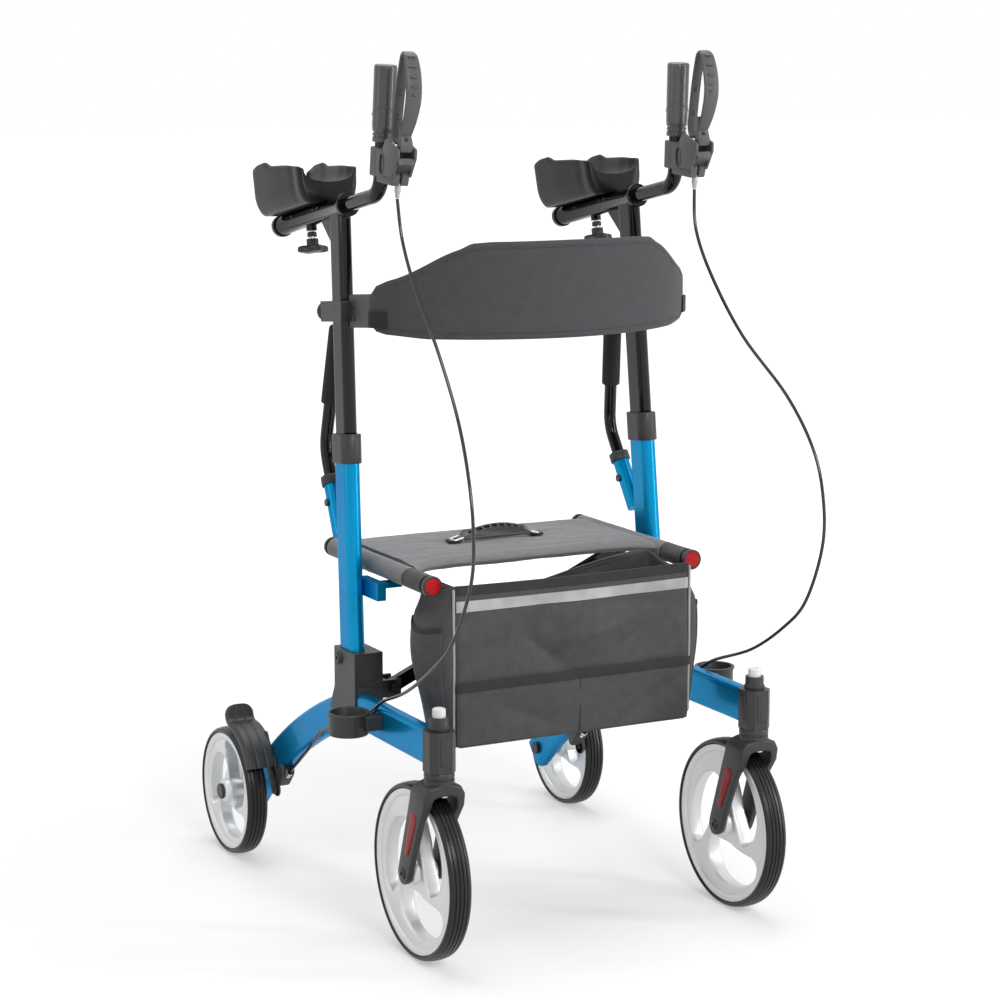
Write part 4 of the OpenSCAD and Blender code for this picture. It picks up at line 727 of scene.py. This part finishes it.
for s in SIDES:
    b = Build("lever", GREY, s)
    rings = []
    for i, (y, z) in enumerate(LEVER):
        a, c = LEVER[i - 1], LEVER[(i + 1) % len(LEVER)]
        nrm = Vector((1, 0, 0)).cross(Vector((0, c[0] - a[0], c[1] - a[1])).normalized())
        ahead = smooth01((-60 - y) / 24)
        high = smooth01((z - 76) / 70) * (1 - 0.5 * smooth01((z - 172) / 30))
        w = 15.0 + 8.6 * ahead * high + 3.5 * (1 - high) * ahead
        rings.append([Vector((x, y, z)) + nrm * q for x, q in rounded(w, 4.8, 2.0, 3)])
    b.add(loft(rings, closed=True), HANDLE)
    b.add(loft([[(x, y + q, z) for x, q in rounded(w, t, 2.2, 3)] for y, z, w, t in LEVER_ROOT]), HANDLE)
    for z, w in RIDGES:
        y = min(lever_near(z)) - 2.4
        oval = [(w / 2 * c, 1.8 * d) for c, d in circle(1, 20)]
        b.add(loft([[(x * f, y - dy, z + q * f) for x, q in oval] for f, dy in RIDGE]), HANDLE)
    for z in (146, 112):
        y = max(lever_near(z)) - 2.4
        pip = lathe([(0, -1), (4.6, -1), (4.2, 0.8), (2.8, 1.9), (0, 2.3)], 20)
        b.add(pip, HANDLE @ shift(0, y + 0.4, z) @ turn(90, "X"))
    b.done("lever", "grey_plastic", ["brake_lever"], angle=45)

    g = Build("grip", GRIPRUB, s).add(lathe(GRIP, 48), HANDLE)
    turns = [TAU * q / 60 for q in range(60)]
    seam = [(SEAM_R * cos(a), SEAM_R * sin(a), GRIP_LOW + 37 - 11 * sin(a + SIDES[s] * 0.5)) for a in turns]
    g.add(sweep(seam, circle(0.55, 6), closed=True), HANDLE)
    g.done("handle", "grip", ["hand_grip"], angle=45)

    br = Build("lever_bracket_body", GREY, s)
    br.add(loft([[(x * f, y * f, z) for x, y in rounded(28, 26, 5, 5)] for z, f in COLLAR]), HANDLE)
    oval, inner = [[(-31 + w * x, BR_LOW + 20 + h * y) for x, y in circle(1, 28)] for w, h in ((7.4, 15), (5.8, 13.6))]
    for e in (-1, 1):
        br.add(slab(CHEEK, 4.2, 1.0), HANDLE @ shift(e * 13.2, 0, 0) @ TO_X)
        br.add(plate([(oval, False), (inner, True)], 2.4, 0.7, 2), HANDLE @ shift(e * 15.0, 0, 0) @ TO_X)
    for outline, t, bevel, places in BRIDGE:
        for x in places:
            br.add(slab(outline, t, bevel), HANDLE @ shift(x, 0, 0) @ TO_X)
    br.done("handle", "grey_plastic", ["lever_bracket"], angle=40)
    Build("ferrule", CLEAR, s).add(lathe(FERRULE, 24), HANDLE @ shift(0, -55, 0)).done("handle", "button")
    pin = Build("lever_pin", DARKSTEEL, s)
    for e in (1, -1):
        pin.add(rod(2.6, 10.4, 12.6, 20), HANDLE @ shift(0, -73, 71) @ turn(90 * e, "Y"))
    tip = lathe([(0, -1), (2.6, -1), (2.4, 0.6), (1.4, 1.1), (0, 1.2)], 16)
    pin.add(tip, HANDLE @ shift(0, -77.5, 84) @ turn(90, "X"))
    pin.done("handle", "steel")


# Forearm pads, knobs and back clamps
def lobed(r, z, n=64):
    """Outline of a knob with four lobes."""
    turns = [TAU * i / n for i in range(n)]
    wide = [r + 0.29 * r * cos(4 * TAU * i / n) for i in range(n)]
    return [(w * cos(a), w * sin(a), z) for w, a in zip(wide, turns)]


def pad_height(f):
    """Height of the pad's side walls above its foot, from the front (0) to the rear (1)."""
    return 54.5 + 13.5 * min(1.0, f / 0.62) + 8 * smooth01((f - 0.6) / 0.14) - 4 * smooth01((f - 0.86) / 0.14)


def screw(r, h):
    """A pan-head screw on +Z with a round recess."""
    return lathe([(0, -0.5), (r, -0.5), (r, h * 0.4), (r * 0.82, h * 0.85), (r * 0.5, h), (r * 0.46, h * 0.55),
                  (0, h * 0.5)], 24)


PAD_Y, PAD_L, PAD_FOOT, PAD_WALL = 32, 170, 12.3, 46.3
# Stations along the pad, closer together at its rounded ends
PAD_STATIONS = [0.0, 0.004, 0.012, 0.025, 0.042, 0.062, 0.085, *(0.11 + 0.8 * i / 26 for i in range(27)),
                0.94, 0.965, 0.985, 0.996, 1.0]


def pad_shape(n=34):
    """The trough: its foot, an outer wall and a rim on both sides, and the hollow of n steps between the rims."""
    rings = []
    for f in PAD_STATIONS:
        head, tail = f * PAD_L, (1 - f) * PAD_L
        pull = 3.6 * (1 - sqrt(max(0.0, 1 - (1 - min(1.0, min(head, tail) / 9)) ** 2)))
        nose = 5 * (1 - sqrt(max(0.0, 1 - (1 - min(1.0, head / 14)) ** 2)))
        y = PAD_Y + PAD_L * f
        crease = 1.3 * exp(-((f - 0.15) / 0.05) ** 2)
        foot = 33.6 - pull * 0.8 - nose * 0.4
        half = 46.4 + 3.2 * smooth01((f - 0.1) / 0.62) - pull - crease - nose * 0.3
        base = PAD_FOOT + pull * 0.5
        brim = 12 + pad_height(f) - pull - 4
        rim = 1.7 + 2.5 * smooth01((f - 0.04) / 0.3)
        wall = []
        for q in range(1, 9):
            a = q / 8
            x = foot + (half - foot) * sin(a * pi / 2) ** 0.9
            wall.append((x, y, base + 34 * (1 - cos(a * pi / 2)) ** 0.8))
        for q in range(1, 5):
            wall.append((half + 0.3 * q, y, PAD_WALL + (brim - PAD_WALL) * q / 4))
        for q in range(1, 7):
            a = pi * q / 7
            wall.append((half + 1.2 - rim + rim * cos(a), y, brim + rim * sin(a)))
        edge, depth = half + 1.2 - 2 * rim, brim - (38 + pull)
        turns = [pi * q / n for q in range(1, n)]
        hollow = [(edge * cos(a), y, brim - depth * sin(a) ** 0.8) for a in turns]
        sole = [(-foot + 2 * foot * q / 7, y, base) for q in range(8)]
        rings.append(sole + wall + hollow + [(-x, y, z) for x, y, z in reversed(wall)])
    return loft(rings)


KNOB_HEAD = ((4, -53), (15, -53), (18.4, -51.8), (19, -49), (18.4, -44.6), (15, -43), (9, -42.6))
BACK_KNOB = [(0, 24), (4, 24), (4, 44.4), (6.8, 44.5), (6.6, 47), (5.6, 50), (7.5, 52.2), (13.5, 53.4), (15, 55.5),
             (15, 60), (13.6, 63.6), (9, 65.8), (0, 66.2)]
for s in SIDES:
    o = Build("pad", PADSKIN, s).add(pad_shape(), ARM).done("post", "pad", ["arm_pad"], angle=60)
    # Two plates under the foam, and the screws in the arm tube
    pl = Build("pad_plate", PLASTIC, s)
    for y in (60, 150):
        pl.add(slab(rounded(30, 22, 4, 4), 4, 1.2), ARM @ shift(0, y, 15.0))
    pl.done("post", "black_plastic")
    sc = Build("arm_screws", DARKSTEEL, s)
    for y in (54, 68, 148):
        for e in (-1, 1):
            sc.add(screw(3.4, 2.4), ARM @ shift(0, y, 0) @ turn(e * 62, "Y") @ shift(0, 0, 13.9))
    sc.add(screw(3.2, 2.2), ARM @ shift(0, -22, 0) @ turn(180, "X") @ shift(0, 0, 17.4))
    sc.done("post", "steel")
    # Knob with four rounded lobes
    knob = ARM @ shift(0, 107, 0)
    kb = Build("arm_knob_cap", PLASTIC, s).add(loft([lobed(r, z) for r, z in KNOB_HEAD]), knob)
    kb.add(lathe([(0, -44), (9.5, -44), (9.5, -34), (8.4, -32.6), (0, -32.6)], 8), knob)
    kb.add(lathe([(0, -30), (7.0, -30), (7.6, -29), (7.6, -24), (6, -22.5), (0, -22.5)], 8), knob)
    kb.done("armknob", "black_plastic", ["arm_knob"], angle=50)
    Build("arm_knob_stem", STEEL, s).add(tube([(0, 0, -34), (0, 0, -11.4)], 4.0, 20), knob).done("armknob", "steel")
    # Back knob: a mushroom head on its neck
    kb = Build("back_knob_cap", PLASTIC, s).add(lathe(BACK_KNOB, 40), CLAMP @ turn(-90, "X"))
    kb.done("backknob", "black_plastic", ["back_knob"], angle=45)
    # Back clamp: two screws on each side of it
    sc = Build("clamp_screws", DARKSTEEL, s)
    for z in (-10, 10):
        for e in (1, -1):
            sc.add(screw(4.2, 2.4), CLAMP @ shift(3 * e, -42, z) @ turn(90 * e, "Y"))
    sc.done("clamp", "steel")

# Push handles
PUSH_FOAM = [(0, 46), (9.7, 46), (13, 46.2), (13.9, 47.4), (14, 60), (14, 158), (13.6, 161), (12, 163.2), (9, 164),
             (0, 164)]
for s in SIDES:
    Build("push_foam", FOAM, s).add(lathe(PUSH_FOAM, 40), PUSH_LEG).done("side", "grip", ["push_grip"])

# Fenders
FEN_Y, FEN_Z, FEN_R, FEN_HALF = REAR_Y - 16, REAR_R + 28.6, 84, 23.5
# Degrees of its arc over the wheel and of the curl at its end, the curl's radius and the length of the tongue after it
FEN_FROM, FEN_ARC, FEN_TO, CURL_ARC, CURL_TO, CURL_R, TONGUE = 19.7, 70, 89.7, 75, 14.7, 12, 18
STAY_X, STAY_FOOT = 269.3, (206.25, 124)


def fender_path():
    """Points (y, z) along the fender: its arc over the wheel, the curl upwards and the straight tongue."""
    pts = []
    for q in range(25):
        a = rad(FEN_FROM + FEN_ARC * q / 24)
        pts.append((FEN_Y - FEN_R * cos(a), FEN_Z + FEN_R * sin(a)))
    reach = FEN_R + CURL_R
    y, z = FEN_Y - reach * cos(rad(FEN_TO)), FEN_Z + reach * sin(rad(FEN_TO))
    for q in range(1, 13):
        a = rad(FEN_TO - CURL_ARC * q / 12)
        pts.append((y + CURL_R * cos(a), z - CURL_R * sin(a)))
    y, z = pts[-1]
    a = rad(CURL_TO)
    for q in range(1, 13):
        pts.append((y + sin(a) * TONGUE * q / 12, z + cos(a) * TONGUE * q / 12))
    return pts


def fender_shape():
    """A strip with two grooves along it, its outer edge rolled down, and a round tongue at its top."""
    rings = []
    pts = fender_path()
    cols = 49
    for i, (y, z) in enumerate(pts):
        a, c = pts[max(i - 1, 0)], pts[min(i + 1, len(pts) - 1)]
        t = Vector((0, c[0] - a[0], c[1] - a[1])).normalized()
        nrm = Vector((0, -t.z, t.y))
        left = (len(pts) - 1 - i) * 1.5
        half = FEN_HALF - (17 - sqrt(max(0, 17 * 17 - max(0, 17 - left) ** 2)))
        skirt = smooth01((26 - i) / 10)
        top, low = [], []
        for q in range(cols):
            f = q / (cols - 1) * 2 - 1
            x = STAY_X + FEN_HALF + half * f
            groove = sum(exp(-((f - g) / 0.06) ** 2) for g in (-0.33, 0.33)) * smooth01(left / 8)
            droop = 1.5 * max(0.0, abs(f) - 0.85) ** 2 / 0.0225 + skirt * 8 * max(0.0, f - 0.8) ** 2 / 0.04
            top.append(Vector((x, y, z)) + nrm * (2.0 - 1.2 * groove - droop))
            low.append(Vector((x, y, z)) + nrm * (-1.8 - droop))
        rings.append(top + low[::-1])
    return loft(rings)


for s in SIDES:
    b = Build("fender_guard", PLASTIC, s).add(fender_shape())
    # The stays, the brake's body on the rail and its pin
    for a in (26, 58):
        end = (FEN_Y - FEN_R * cos(rad(a)), FEN_Z + FEN_R * sin(rad(a)))
        b.add(slab(bar_outline(STAY_FOOT, end, 12, 6, 12), 3.6, 1.0), shift(STAY_X + 1.8, 0, 0) @ TO_X)
    b.add(plate([(bar_outline((203, 138), (190, 156), 9, 11.5, 16), False)], 22, 4.5, 4), shift(262, 0, 0) @ TO_X)
    b.add(rod(5, 0, 9, 24), shift(STAY_X, *STAY_FOOT) @ turn(90, "Y"))
    b.done("side", "black_plastic", ["fender"], angle=40)

# Seat
SEAT_Y, SEAT_D, SEAT_FLARE = RAIL_Y + 102, 222.0, 36.0
HALF = SEAT_X - 12.7 - 0.3 - 0.8


def swell(t):
    return 1 - abs(2 * t - 1) ** 8


def seat_top(u, v):
    x = HALF * (2 * u - 1)
    y = SEAT_Y + v * SEAT_D - SEAT_FLARE * (1 - swell(u)) * (1 - v)
    z = SEAT_Z + 6 + (8.5 + 1.0 * swell(u)) * swell(v) ** 0.8
    for cx in (-63, 63):
        d2 = ((x - cx * 1.06) / 36) ** 2 + ((y + 10) / 22) ** 2
        z -= 3.4 * exp(-d2)
        away = (x - cx) * (1 if cx > 0 else -1)
        if away > -20:
            z += 0.7 * exp(-(((y + 10) / 26) ** 2)) * cos((y + 10) / 4.2) * exp(-abs(away - 20) / 45)
    z += 0.9 * noise.noise(Vector((x / 60, y / 26, 3.1))) + 0.35 * noise.noise(Vector((x / 14, y / 22, 8.2)))
    z += 0.8 * exp(-((v - 0.06) / 0.03) ** 2) - 0.7 * exp(-((v - 0.115) / 0.018) ** 2)
    return (x, y, z)


def seat_shape(nu=96, nv=60):
    top = [[seat_top(i / nu, j / nv) for i in range(nu + 1)] for j in range(nv + 1)]
    verts = [p for row in top for p in row]
    verts += [(x, y, 2 * (SEAT_Z + 6) - z - 1.6) for row in top for x, y, z in row]
    return verts, patch_faces(nu, nv)


def sleeve(x, y0, y1, steps, r=14.5, n=28):
    """Cloth round a seat rail, a little uneven."""
    rings, inner = [], []
    for i in range(steps + 1):
        y = y0 + (y1 - y0) * i / steps
        ring = []
        for q in range(n):
            a = TAU * q / n
            w = r + 0.5 * noise.noise(Vector((cos(a) * 2 + x, y / 18, sin(a) * 2)))
            ring.append((x + w * cos(a), y, SEAT_Z + w * sin(a)))
        rings.append(ring)
        inner.append([(x + a, y, SEAT_Z + b) for a, b in circle(r - 1.5, n)])
    return loft(rings + inner[::-1], closed=True)


def folds(o):
    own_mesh(o)


seat = Build("seat_panel", SEATCLOTH).add(seat_shape()).done("seat", "seat_cloth", ["seat_fabric"], angle=60)
folds(seat)
for body, x in RAILS:
    hem = sleeve(x, RAIL_Y + 64, SEAT_Y + SEAT_D, 40)
    Build(f"seat_sleeve_{body}", SEATCLOTH).add(hem).done(body, "seat_cloth", angle=60)
    loop = sleeve(x, RAIL_Y + 6, RAIL_Y + 60, 18)
    Build(f"bag_loop_{body}", BAGCLOTH).add(loop).done(body, "bag_cloth", angle=60)

# Carry handle: a slotted grip with wire loops at its ends
CARRY_Y, CARRY_Z, CARRY_L, CARRY_RISE = -10.0, 536.591, 126.0, 19.0
CARRY_R = (CARRY_L ** 2 / 4 + CARRY_RISE ** 2) / 2 / CARRY_RISE
slots = [(bar_outline((x - 2.2, 0), (x + 2.2, 0), 3.6, 3.6001, 8), True) for x in range(-42, 43, 12)]
flat = plate([(rounded(118, 22, 8, 6), False), *slots], 4.4, 1.3, 2)


def arch(p):
    a = p[0] / CARRY_R
    q = CARRY_R + 2.2 + p[2]
    rise = CARRY_RISE - CARRY_R + q * cos(a)
    lean = rad(26)
    return (q * sin(a), CARRY_Y + p[1] * cos(lean) - rise * sin(lean), CARRY_Z + p[1] * sin(lean) + rise * cos(lean))


carry = Build("carry_grip", GREY).add(([arch(p) for p in flat[0]], flat[1]))
folds(carry.done("seat", "grey_plastic", ["carry_handle"], angle=40))
# A wire loop, from the end of the grip
LOOP = ((-6, -9, 5), (4, -9, 2.4), (8, -8, 2), (8.5, 0, 2), (8, 8, 2), (4, 9, 2.4), (-6, 9, 5))
loops = Build("carry_loops", STEEL)
tabs = Build("carry_tabs", WEB)
for e in (-1, 1):
    x = e * CARRY_L / 2
    loops.add(tube(catmull([(x + e * a, CARRY_Y + b, CARRY_Z + c) for a, b, c in LOOP], 5), 1.5, 10))
    tabs.add(slab(rounded(20, 24, 4, 4), 3.0, 1.0), shift(x + e * 6, CARRY_Y, CARRY_Z + 0.4))
folds(loops.done("seat", "steel"))
folds(tabs.done("seat", "grey_plastic"))

# Bag
BAG_Y, BAG_Z, BAG_H, BAG_W, BAG_D, BAG_FOOT = -262.0, 526.0, 237.2, 392.0, 124.0, 98.0
BACK_SAG, WALL_SAG = 38.0, 14.0
CORNER, FRONT_CORNER, BAG_ROWS = 14.0, 18, 48
# Creases of the front panel: (u, v) of both ends, width and depth; and what all widths and depths are taken times
CREASES = (((0.26, 0.36), (0.40, 0.17), 9, 3.4), ((0.30, 0.34), (0.50, 0.62), 10, 3.6),
           ((0.88, 0.30), (0.56, 0.58), 14, 2.6), ((0.10, 0.42), (0.28, 0.36), 10, 2.0),
           ((0.62, 0.2), (0.92, 0.24), 9, 1.8), ((0.18, 0.74), (0.44, 0.93), 9, 1.8),
           ((0.70, 0.9), (0.94, 0.72), 10, 2.0), ((0.46, 0.4), (0.70, 0.34), 12, -2.4))
CREASE_WIDER, CREASE_DEEPER = 1.5, 4.2


def creases(u, v):
    """How far the creases sink the front panel here."""
    sink = 0.0
    for (u0, v0), (u1, v1), width, depth in CREASES:
        a, d = Vector((u0 * BAG_W, v0 * BAG_H)), Vector(((u1 - u0) * BAG_W, (v1 - v0) * BAG_H))
        p = Vector((u * BAG_W, v * BAG_H)) - a
        t = min(1.0, max(0.0, p.dot(d) / d.length_squared))
        far = (p - d * t).length
        sink += CREASE_DEEPER * depth * exp(-far / (CREASE_WIDER * width)) * (0.3 + 0.7 * sin(pi * t))
    return sink


def bag_point(u, v, out=0.0):
    """u runs round the bag: 0..1 front from right to left, 1..2 left wall, 2..3 back, 3..4 right wall.
    v runs from the mouth (0) to the foot (1)."""
    depth = BAG_D + (BAG_FOOT - BAG_D) * v
    hx, hy, y0 = BAG_W / 2 - 3.0, depth / 2 - 1.5, BAG_Y + depth / 2
    r = CORNER
    side, f = int(u) % 4, u - int(u)
    arc = 0.06 if side in (0, 2) else 0.16
    ends = ((-1, -1), (1, -1), (1, 1), (-1, 1))
    a_start, a_end = ends[side], ends[(side + 1) % 4]
    ang0 = (-90, 0, 90, 180)[side]
    if f < arc or f > 1 - arc:
        c = a_start if f < arc else a_end
        g = rad(ang0 - 45 + 45 * f / arc) if f < arc else rad(ang0 + 45 * (f - 1 + arc) / arc)
        nrm = Vector((cos(g), sin(g)))
        p = Vector((c[0] * (hx - r), c[1] * (hy - r))) + nrm * r
    else:
        q = (f - arc) / (1 - 2 * arc)
        nrm = Vector((cos(rad(ang0)), sin(rad(ang0))))
        a = Vector((a_start[0] * (hx - r), a_start[1] * (hy - r))) + nrm * r
        b = Vector((a_end[0] * (hx - r), a_end[1] * (hy - r))) + nrm * r
        p = a.lerp(b, q)
    mid = sin(pi * f) ** 0.8
    low = sin(pi * min(1.0, v) ** 1.1)
    if side in (0, 2):
        bulge = (5.0, 0.0, 3.0)[side] * mid * low
    else:
        bulge = 30.0 * mid * sin(pi * min(1.0, v) ** 0.72) * smooth01((v - 0.08) / 0.16)
    fold = 3.8 * noise.noise(Vector((p.x / 55, side * 7.3 + v * 3.0, p.y / 55)))
    fold += 1.1 * noise.noise(Vector((p.x / 20, v * 9 + side, p.y / 20)))
    bulge += fold * low * (0.4 + 0.6 * mid)
    if side == 0:
        bulge -= creases(f, v)
    # The mouth is drawn in, and its front edge sags a little between the rails
    ahead = 1 - max(0.0, min(1.0, (p.y + hy) / (2 * hy)))
    mouth = smooth01(1 - v / 0.3)
    draw = (10.0 * mid if side == 0 else -16.0 * mid if side == 2 else 0.0) * mouth
    sag = 5.0 * mid * mouth if side == 0 else 0.0
    if side == 2:
        top = BAG_Z - BACK_SAG * sin(pi * min(1.0, max(0.0, 0.5 - p.x / BAG_W)) ** 1.9)
    else:
        top = BAG_Z - WALL_SAG * sin(pi * ahead)
    z = top - 1.0 - sag - (BAG_H - 2 - (BAG_Z - top) - sag) * v
    # Round lower corners of the front
    if side == 0:
        edge = min(f, 1 - f) * BAG_W
        short = max(0.0, FRONT_CORNER - edge)
        z += (FRONT_CORNER - sqrt(max(0.0, FRONT_CORNER ** 2 - short ** 2))) * smooth01((v - 0.8) / 0.2)
    x = p.x * (1 + 0.018 * ahead) + nrm.x * (bulge + out)
    return Vector((x, y0 + p.y + nrm.y * (bulge * 0.8 + out) + draw, z))


def bag_shell():
    us = []
    for side in range(4):
        n = 84 if side in (0, 2) else 36
        us += [side + i / n for i in range(n)]
    rows = [[bag_point(u, j / BAG_ROWS) for u in us] for j in range(BAG_ROWS + 1)]
    centre = Vector((0, BAG_Y + BAG_FOOT / 2, 0))
    foot = BAG_Z - BAG_H + 1
    for f, dz in ((0.99, 0.75), (0.965, 0.3), (0.93, 0.1)):
        rows.append([Vector((c.x * f, centre.y + (c.y - centre.y) * f, foot + (c.z - foot) * dz))
                     for c in rows[BAG_ROWS]])
    for f in (0.7, 0.4, 0.12):
        rows.append([Vector((c.x * f, centre.y + (c.y - centre.y) * f, foot - 0.1)) for c in rows[BAG_ROWS]])
    return loft([list(r) for r in reversed(rows)], caps=False)


def bag_strip(u0, u1, v0, v1, out, nu, nv, thick, bow=0.0):
    """A closed patch of cloth that lies on the bag's wall."""
    front, back = [], []
    for j in range(nv + 1):
        v = v0 + (v1 - v0) * j / nv
        for i in range(nu + 1):
            f = i / nu
            u = u0 + (u1 - u0) * f
            extra = bow * sin(pi * f) * sin(pi * (0.15 + 0.85 * j / nv))
            front.append(bag_point(u, v, out + extra))
            back.append(bag_point(u, v, out + extra - thick))
    return front + back, patch_faces(nu, nv, flip=True)


shell = Build("bag_shell", BAGCLOTH).add(bag_shell()).done("seat", "bag_cloth", ["bag"], angle=70)
solid = shell.modifiers.new("cloth", "SOLIDIFY")
solid.thickness, solid.offset = 0.0016, -1
folds(shell)
# Patches of cloth on the bag's wall, each a list of what bag_strip takes
POCKETS = ((0.02, 0.98, 0.62, 0.985, 2.4, 70, 18, 1.6, 1.6), (3.12, 3.88, 0.26, 0.97, 1.8, 24, 16, 1.6, 2.6),
           (1.12, 1.88, 0.26, 0.97, 1.8, 24, 16, 1.6, 2.6))
BINDING = ((0.02, 0.98, 0.0, 0.06, 1.6, 84, 3, 3.2), (0.02, 0.98, 0.597, 0.652, 5.4, 84, 4, 2.6, 0.8),
           (2.03, 2.97, 0.0, 0.05, 1.6, 60, 3, 3.2), (3.12, 3.88, 0.24, 0.275, 2.8, 24, 3, 1.8, 1.2),
           (1.12, 1.88, 0.24, 0.275, 2.8, 24, 3, 1.8, 1.2), (0.514, 0.519, 0.64, 0.985, 3.9, 2, 20, 1.4))
for name, mat, angle, strips in (
    ("bag_pockets", BAGCLOTH, 70, POCKETS), ("bag_binding", TAPE, 60, BINDING),
    ("bag_stripe", STRIPE, 60, [(0.02, 0.985, 0.095, 0.163, 1.5, 80, 3, 1.4)]),
):
    b = Build(name, mat)
    for strip in strips:
        b.add(bag_strip(*strip))
    folds(b.done("seat", "bag_cloth", angle=angle))
pipe = Build("bag_piping", PIPING)
for u in (0.0, 1.0):
    edge = [bag_point(u, 0.02 + 0.93 * j / 40, 1.6) for j in range(41)]
    pipe.add(tube(edge, 1.9, 8))
folds(pipe.done("seat", "bag_cloth"))

# Back band
BAND_Y, BAND_R, BAND_Z, BAND_END = -252.0, 316.741, 890.183, 256
BASE_Z = BAND_Z - 26


def lerp_points(pts, x):
    """Height at x of an edge given by points, with its corners eased."""
    for (x0, y0), (x1, y1) in zip(pts, pts[1:]):
        if x <= x1:
            f = smooth01((x - x0) / (x1 - x0)) * 0.35 + 0.65 * (x - x0) / (x1 - x0)
            return y0 + (y1 - y0) * f
    return pts[-1][1]


TOP_EDGE = [(0, 138), (116, 137), (142, 135), (162, 125), (236, 82), (249, 74), (BAND_END, 58)]
LOW_EDGE = [(0, 0), (196, 0.5), (240, 5), (250, 9), (BAND_END, 22)]


def band_at(x, z, off):
    """A point of the band's arc, off mm outside its middle."""
    a = asin(max(-1, min(1, x / BAND_R)))
    r = BAND_R + off
    return (r * sin(a), BAND_Y + BAND_R - r * cos(a), z)


def band_shape(nx=120, nz=30):
    rings = []
    for i in range(nx + 1):
        s0 = -1 + 2 * i / nx
        x = BAND_END * (sin(s0 * pi / 2) * 0.25 + s0 * 0.75)
        lo, hi = BASE_Z + lerp_points(LOW_EDGE, abs(x)), BASE_Z + lerp_points(TOP_EDGE, abs(x))
        front, back = [], []
        for j in range(nz + 1):
            f = 0.5 - 0.5 * cos(pi * j / nz)
            z = lo + (hi - lo) * f
            edge = min((hi - lo) * f, (hi - lo) * (1 - f), (BAND_END - abs(x)) * 1.2)
            full = 1 - exp(-max(0.0, edge) / 5.0)
            seam = 1.3 * exp(-((edge - 9) / 1.4) ** 2)
            soft = 0.8 * noise.noise(Vector((x / 70, z / 45, 1.7)))
            soft += noise.noise(Vector((x / 34, z / 90, 5.1))) * exp(-(BAND_END - abs(x)) / 70)
            t = 1.6 + 3.0 * full - seam + soft * full
            front.append(band_at(x, z, t))
            back.append(band_at(x, z, -1.4 - 2.6 * full + seam * 0.6))
        rings.append(front + back[::-1])
    return loft(rings)


band = Build("band_panel", BANDCLOTH).add(band_shape()).done("clamp_right", "band_cloth", ["back_band"], angle=60)
folds(band)
seam = Build("band_stitching", THREAD)
for edge, sign in ((TOP_EDGE, -1), (LOW_EDGE, 1)):
    run = []
    for i in range(241):
        x = -240 + 480 * i / 240
        z = BASE_Z + lerp_points(edge, abs(x)) + sign * 9
        run.append(band_at(x, z, 4.2))
    for a in range(0, 240, 3):
        seam.add(tube([run[a], run[a + 1], run[a + 2]], 0.42, 5))
folds(seam.done("clamp_right", "band_cloth"))
# A strap round the band's end: x, and distance from the band's middle
STRAP = ((238, 5.8), (242, 6.6), (248, 7.0), (254, 6.0), (257, 1.0), (256, -5.0), (247, -7.4), (236, -7.0))
straps = Build("band_straps", WEB)
for e in (-1, 1):
    line = catmull([band_at(e * x, BAND_Z, off) for x, off in STRAP], 4)
    straps.add(sweep(line, rounded(3.0, 24, 1.2, 3)))
folds(straps.done("clamp_right", "band_cloth"))
